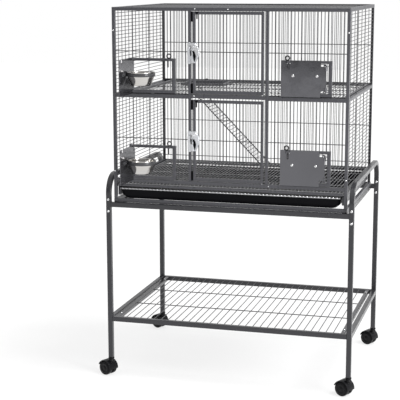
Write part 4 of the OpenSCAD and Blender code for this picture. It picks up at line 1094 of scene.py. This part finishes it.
# ---------------------------------------------------------------- casters
CT, TRAIL, WR, WHW = math.radians(155.7), 17.0, 25.5, 21.5
for t, x, y in (("fl", -LEG_X, LEG_Y0), ("fr", LEG_X, LEG_Y0), ("rl", -LEG_X, LEG_Y1), ("rr", LEG_X, LEG_Y1)):
    Rz = np.array([[math.cos(CT), -math.sin(CT), 0], [math.sin(CT), math.cos(CT), 0], [0, 0, 1]])
    mv = (Rz, V(x, y, 0))
    c = V(TRAIL, 0, WR)
    s = Shape()
    # neck with its groove and the plain stem above
    lathe(s, [(9.2, 49.5), (10.6, 51.6), (11.0, 53), (11.0, 56), (9.6, 57.2), (9.2, 58.4), (9.6, 60), (10.6, 61.2), (10.8, 64.6), (10.0, 66.4), (5.0, 66.6), (5.0, 95), (4.2, 96), (0, 96)], 40, (0, 0, 0))
    # hood: fender with rolled edges over both wheels
    rim = [(26.5, -20.6), (26.9, -21.3), (28.2, -21.5), (28.9, -20.9), (29.5, -17), (29.5, 17), (28.9, 20.9), (28.2, 21.5), (26.9, 21.3), (26.5, 20.6), (26.5, -20.6)]
    lathe(s, rim, 48, c, (0, -1, 0), 20, 185, xdir=(1, 0, 0), caps=True)
    # centre web and hub disc
    lathe(s, [(10, -4.1), (26.6, -4.1), (26.6, 4.1), (10, 4.1), (10, -4.1)], 40, c, (0, -1, 0), 20, 185, xdir=(1, 0, 0), caps=True)
    lathe(s, [(0, -4), (20.4, -4), (21, -3.4), (21, 3.4), (20.4, 4), (0, 4)], 48, c, (0, 1, 0))
    # shoulder that carries the neck into the hood
    lathe(s, [(9.0, 52), (10.9, 51.6), (11.8, 49.6), (12.6, 46.8), (9.0, 46.5)][::-1], 36, (4.2, 0, 0))
    s.build("caster_hood_shell_" + t, "caster_" + t, ["caster_hood_" + t], "caster_plastic", M["caster_plastic"], mv)
    s = Shape()
    for k in (-1, 1):
        prof = [(3.2, 5.0), (23.6, 5.0), (25.0, 5.6), (25.5, 7.0), (25.5, 15.0), (25.1, 17.6), (23.8, 19.6), (22.6, 20.2), (22.0, 19.5), (21.2, 19.1), (20.4, 19.3),
                (19.6, 20.6), (17.6, 21.3), (14.4, 21.5), (13.2, 21.2), (12.6, 20.2), (11.4, 19.9), (5.4, 19.9), (4.8, 20.6), (3.4, 21.0), (0, 21.1)]
        lathe(s, prof, 64, c, (0, k, 0), crease=50)
    lathe(s, [(3.0, -19), (3.0, 19)], 20, c, (0, 1, 0))
    s.build("caster_twin_wheels_" + t, "wheels_" + t, ["caster_wheels_" + t], "wheel_plastic", M["wheel_plastic"], mv)

# ---------------------------------------------------------------- camera, floor and light
cam = bpy.data.cameras.new("camera")
cam.lens, cam.sensor_width = 108.75, 36.0
cam.clip_start, cam.clip_end = 0.1, 60
co = bpy.data.objects.new("camera", cam)
bpy.context.scene.collection.objects.link(co)
yaw, pitch, roll = 0.275, -0.1835, -0.002
d = Vector((-math.sin(yaw) * math.cos(pitch), math.cos(yaw) * math.cos(pitch), math.sin(pitch)))
r = Vector((math.cos(yaw), math.sin(yaw), 0))
u = r.cross(d)
r2 = math.cos(roll) * r + math.sin(roll) * u
u2 = -math.sin(roll) * r + math.cos(roll) * u
rot = Matrix((r2, u2, -d)).transposed().to_4x4()
co.matrix_world = Matrix.Translation(Vector(((1002.5 + OX) / 1000, (-3895.8 + OY) / 1000, (ZT + 103.1) / 1000))) @ rot
bpy.context.scene.camera = co

me = bpy.data.meshes.new("floor")
R0 = 14.0
me.from_pydata([(-R0, -R0, 0), (R0, -R0, 0), (R0, R0, 0), (-R0, R0, 0)], [], [(0, 1, 2, 3)])
floor = bpy.data.objects.new("floor", me)
bpy.context.scene.collection.objects.link(floor)


def floor_mat(nt, bsdf):
    v = coords(nt)
    c = ramp(nt, noise(nt, v, 3.0, 3.0), [(0.3, (0.175, 0.175, 0.175)), (0.7, (0.185, 0.185, 0.185))])
    nt.links.new(c, bsdf.inputs["Base Color"])
    bsdf.inputs["Roughness"].default_value = 0.9
    bsdf.inputs["Specular IOR Level"].default_value = 0.1
    bsdf.inputs["Emission Color"].default_value = (1, 1, 1, 1)
    bsdf.inputs["Emission Strength"].default_value = 0.76


me.materials.append(mat("floor_white", floor_mat))

# white backdrop; the light on the object comes mostly from above and from the right
world = bpy.data.worlds.new("studio")
bpy.context.scene.world = world
world.use_nodes = True
nt = world.node_tree
bg = nt.nodes["Background"]
bg.inputs["Color"].default_value = (1, 1, 1, 1)
tc = node(nt, "ShaderNodeTexCoord")
sep = node(nt, "ShaderNodeSeparateXYZ")
nt.links.new(tc.outputs["Generated"], sep.inputs[0])
up = remap(nt, sep.outputs["Z"], 0.15, 0.95, 0.0, 0.75)
back = remap(nt, sep.outputs["Y"], 0.1, 0.9, 0.0, 0.35)
right = remap(nt, sep.outputs["X"], 0.2, 0.9, 0.0, 0.35)
soft = maths(nt, "ADD", maths(nt, "ADD", maths(nt, "ADD", up, back), right), 0.28)
lp = node(nt, "ShaderNodeLightPath")
pick = node(nt, "ShaderNodeMix", data_type="FLOAT")
nt.links.new(lp.outputs["Is Camera Ray"], pick.inputs[0])
nt.links.new(soft, pick.inputs[2])
pick.inputs[3].default_value = 1.0
nt.links.new(pick.outputs[0], bg.inputs["Strength"])


def area(name, loc, target, size, power, color=(1, 1, 1)):
    l = bpy.data.lights.new(name, "AREA")
    l.shape, l.size, l.size_y = "RECTANGLE", size[0], size[1]
    l.energy, l.color = power, color
    o = bpy.data.objects.new(name, l)
    bpy.context.scene.collection.objects.link(o)
    o.location = loc
    o.rotation_euler = (Vector(target) - Vector(loc)).to_track_quat("-Z", "Y").to_euler()
    return o


sun = bpy.data.lights.new("key_sun", "SUN")
sun.energy, sun.angle = 3.0, 0.45
so = bpy.data.objects.new("key_sun", sun)
bpy.context.scene.collection.objects.link(so)
so.rotation_euler = Vector((-0.62, 0.10, -1.0)).to_track_quat("-Z", "Y").to_euler()
area("strip_right", (2.6, -1.8, 1.5), (0, 0, 0.9), (0.7, 2.2), 55)

bpy.context.scene.view_settings.view_transform = "Standard"
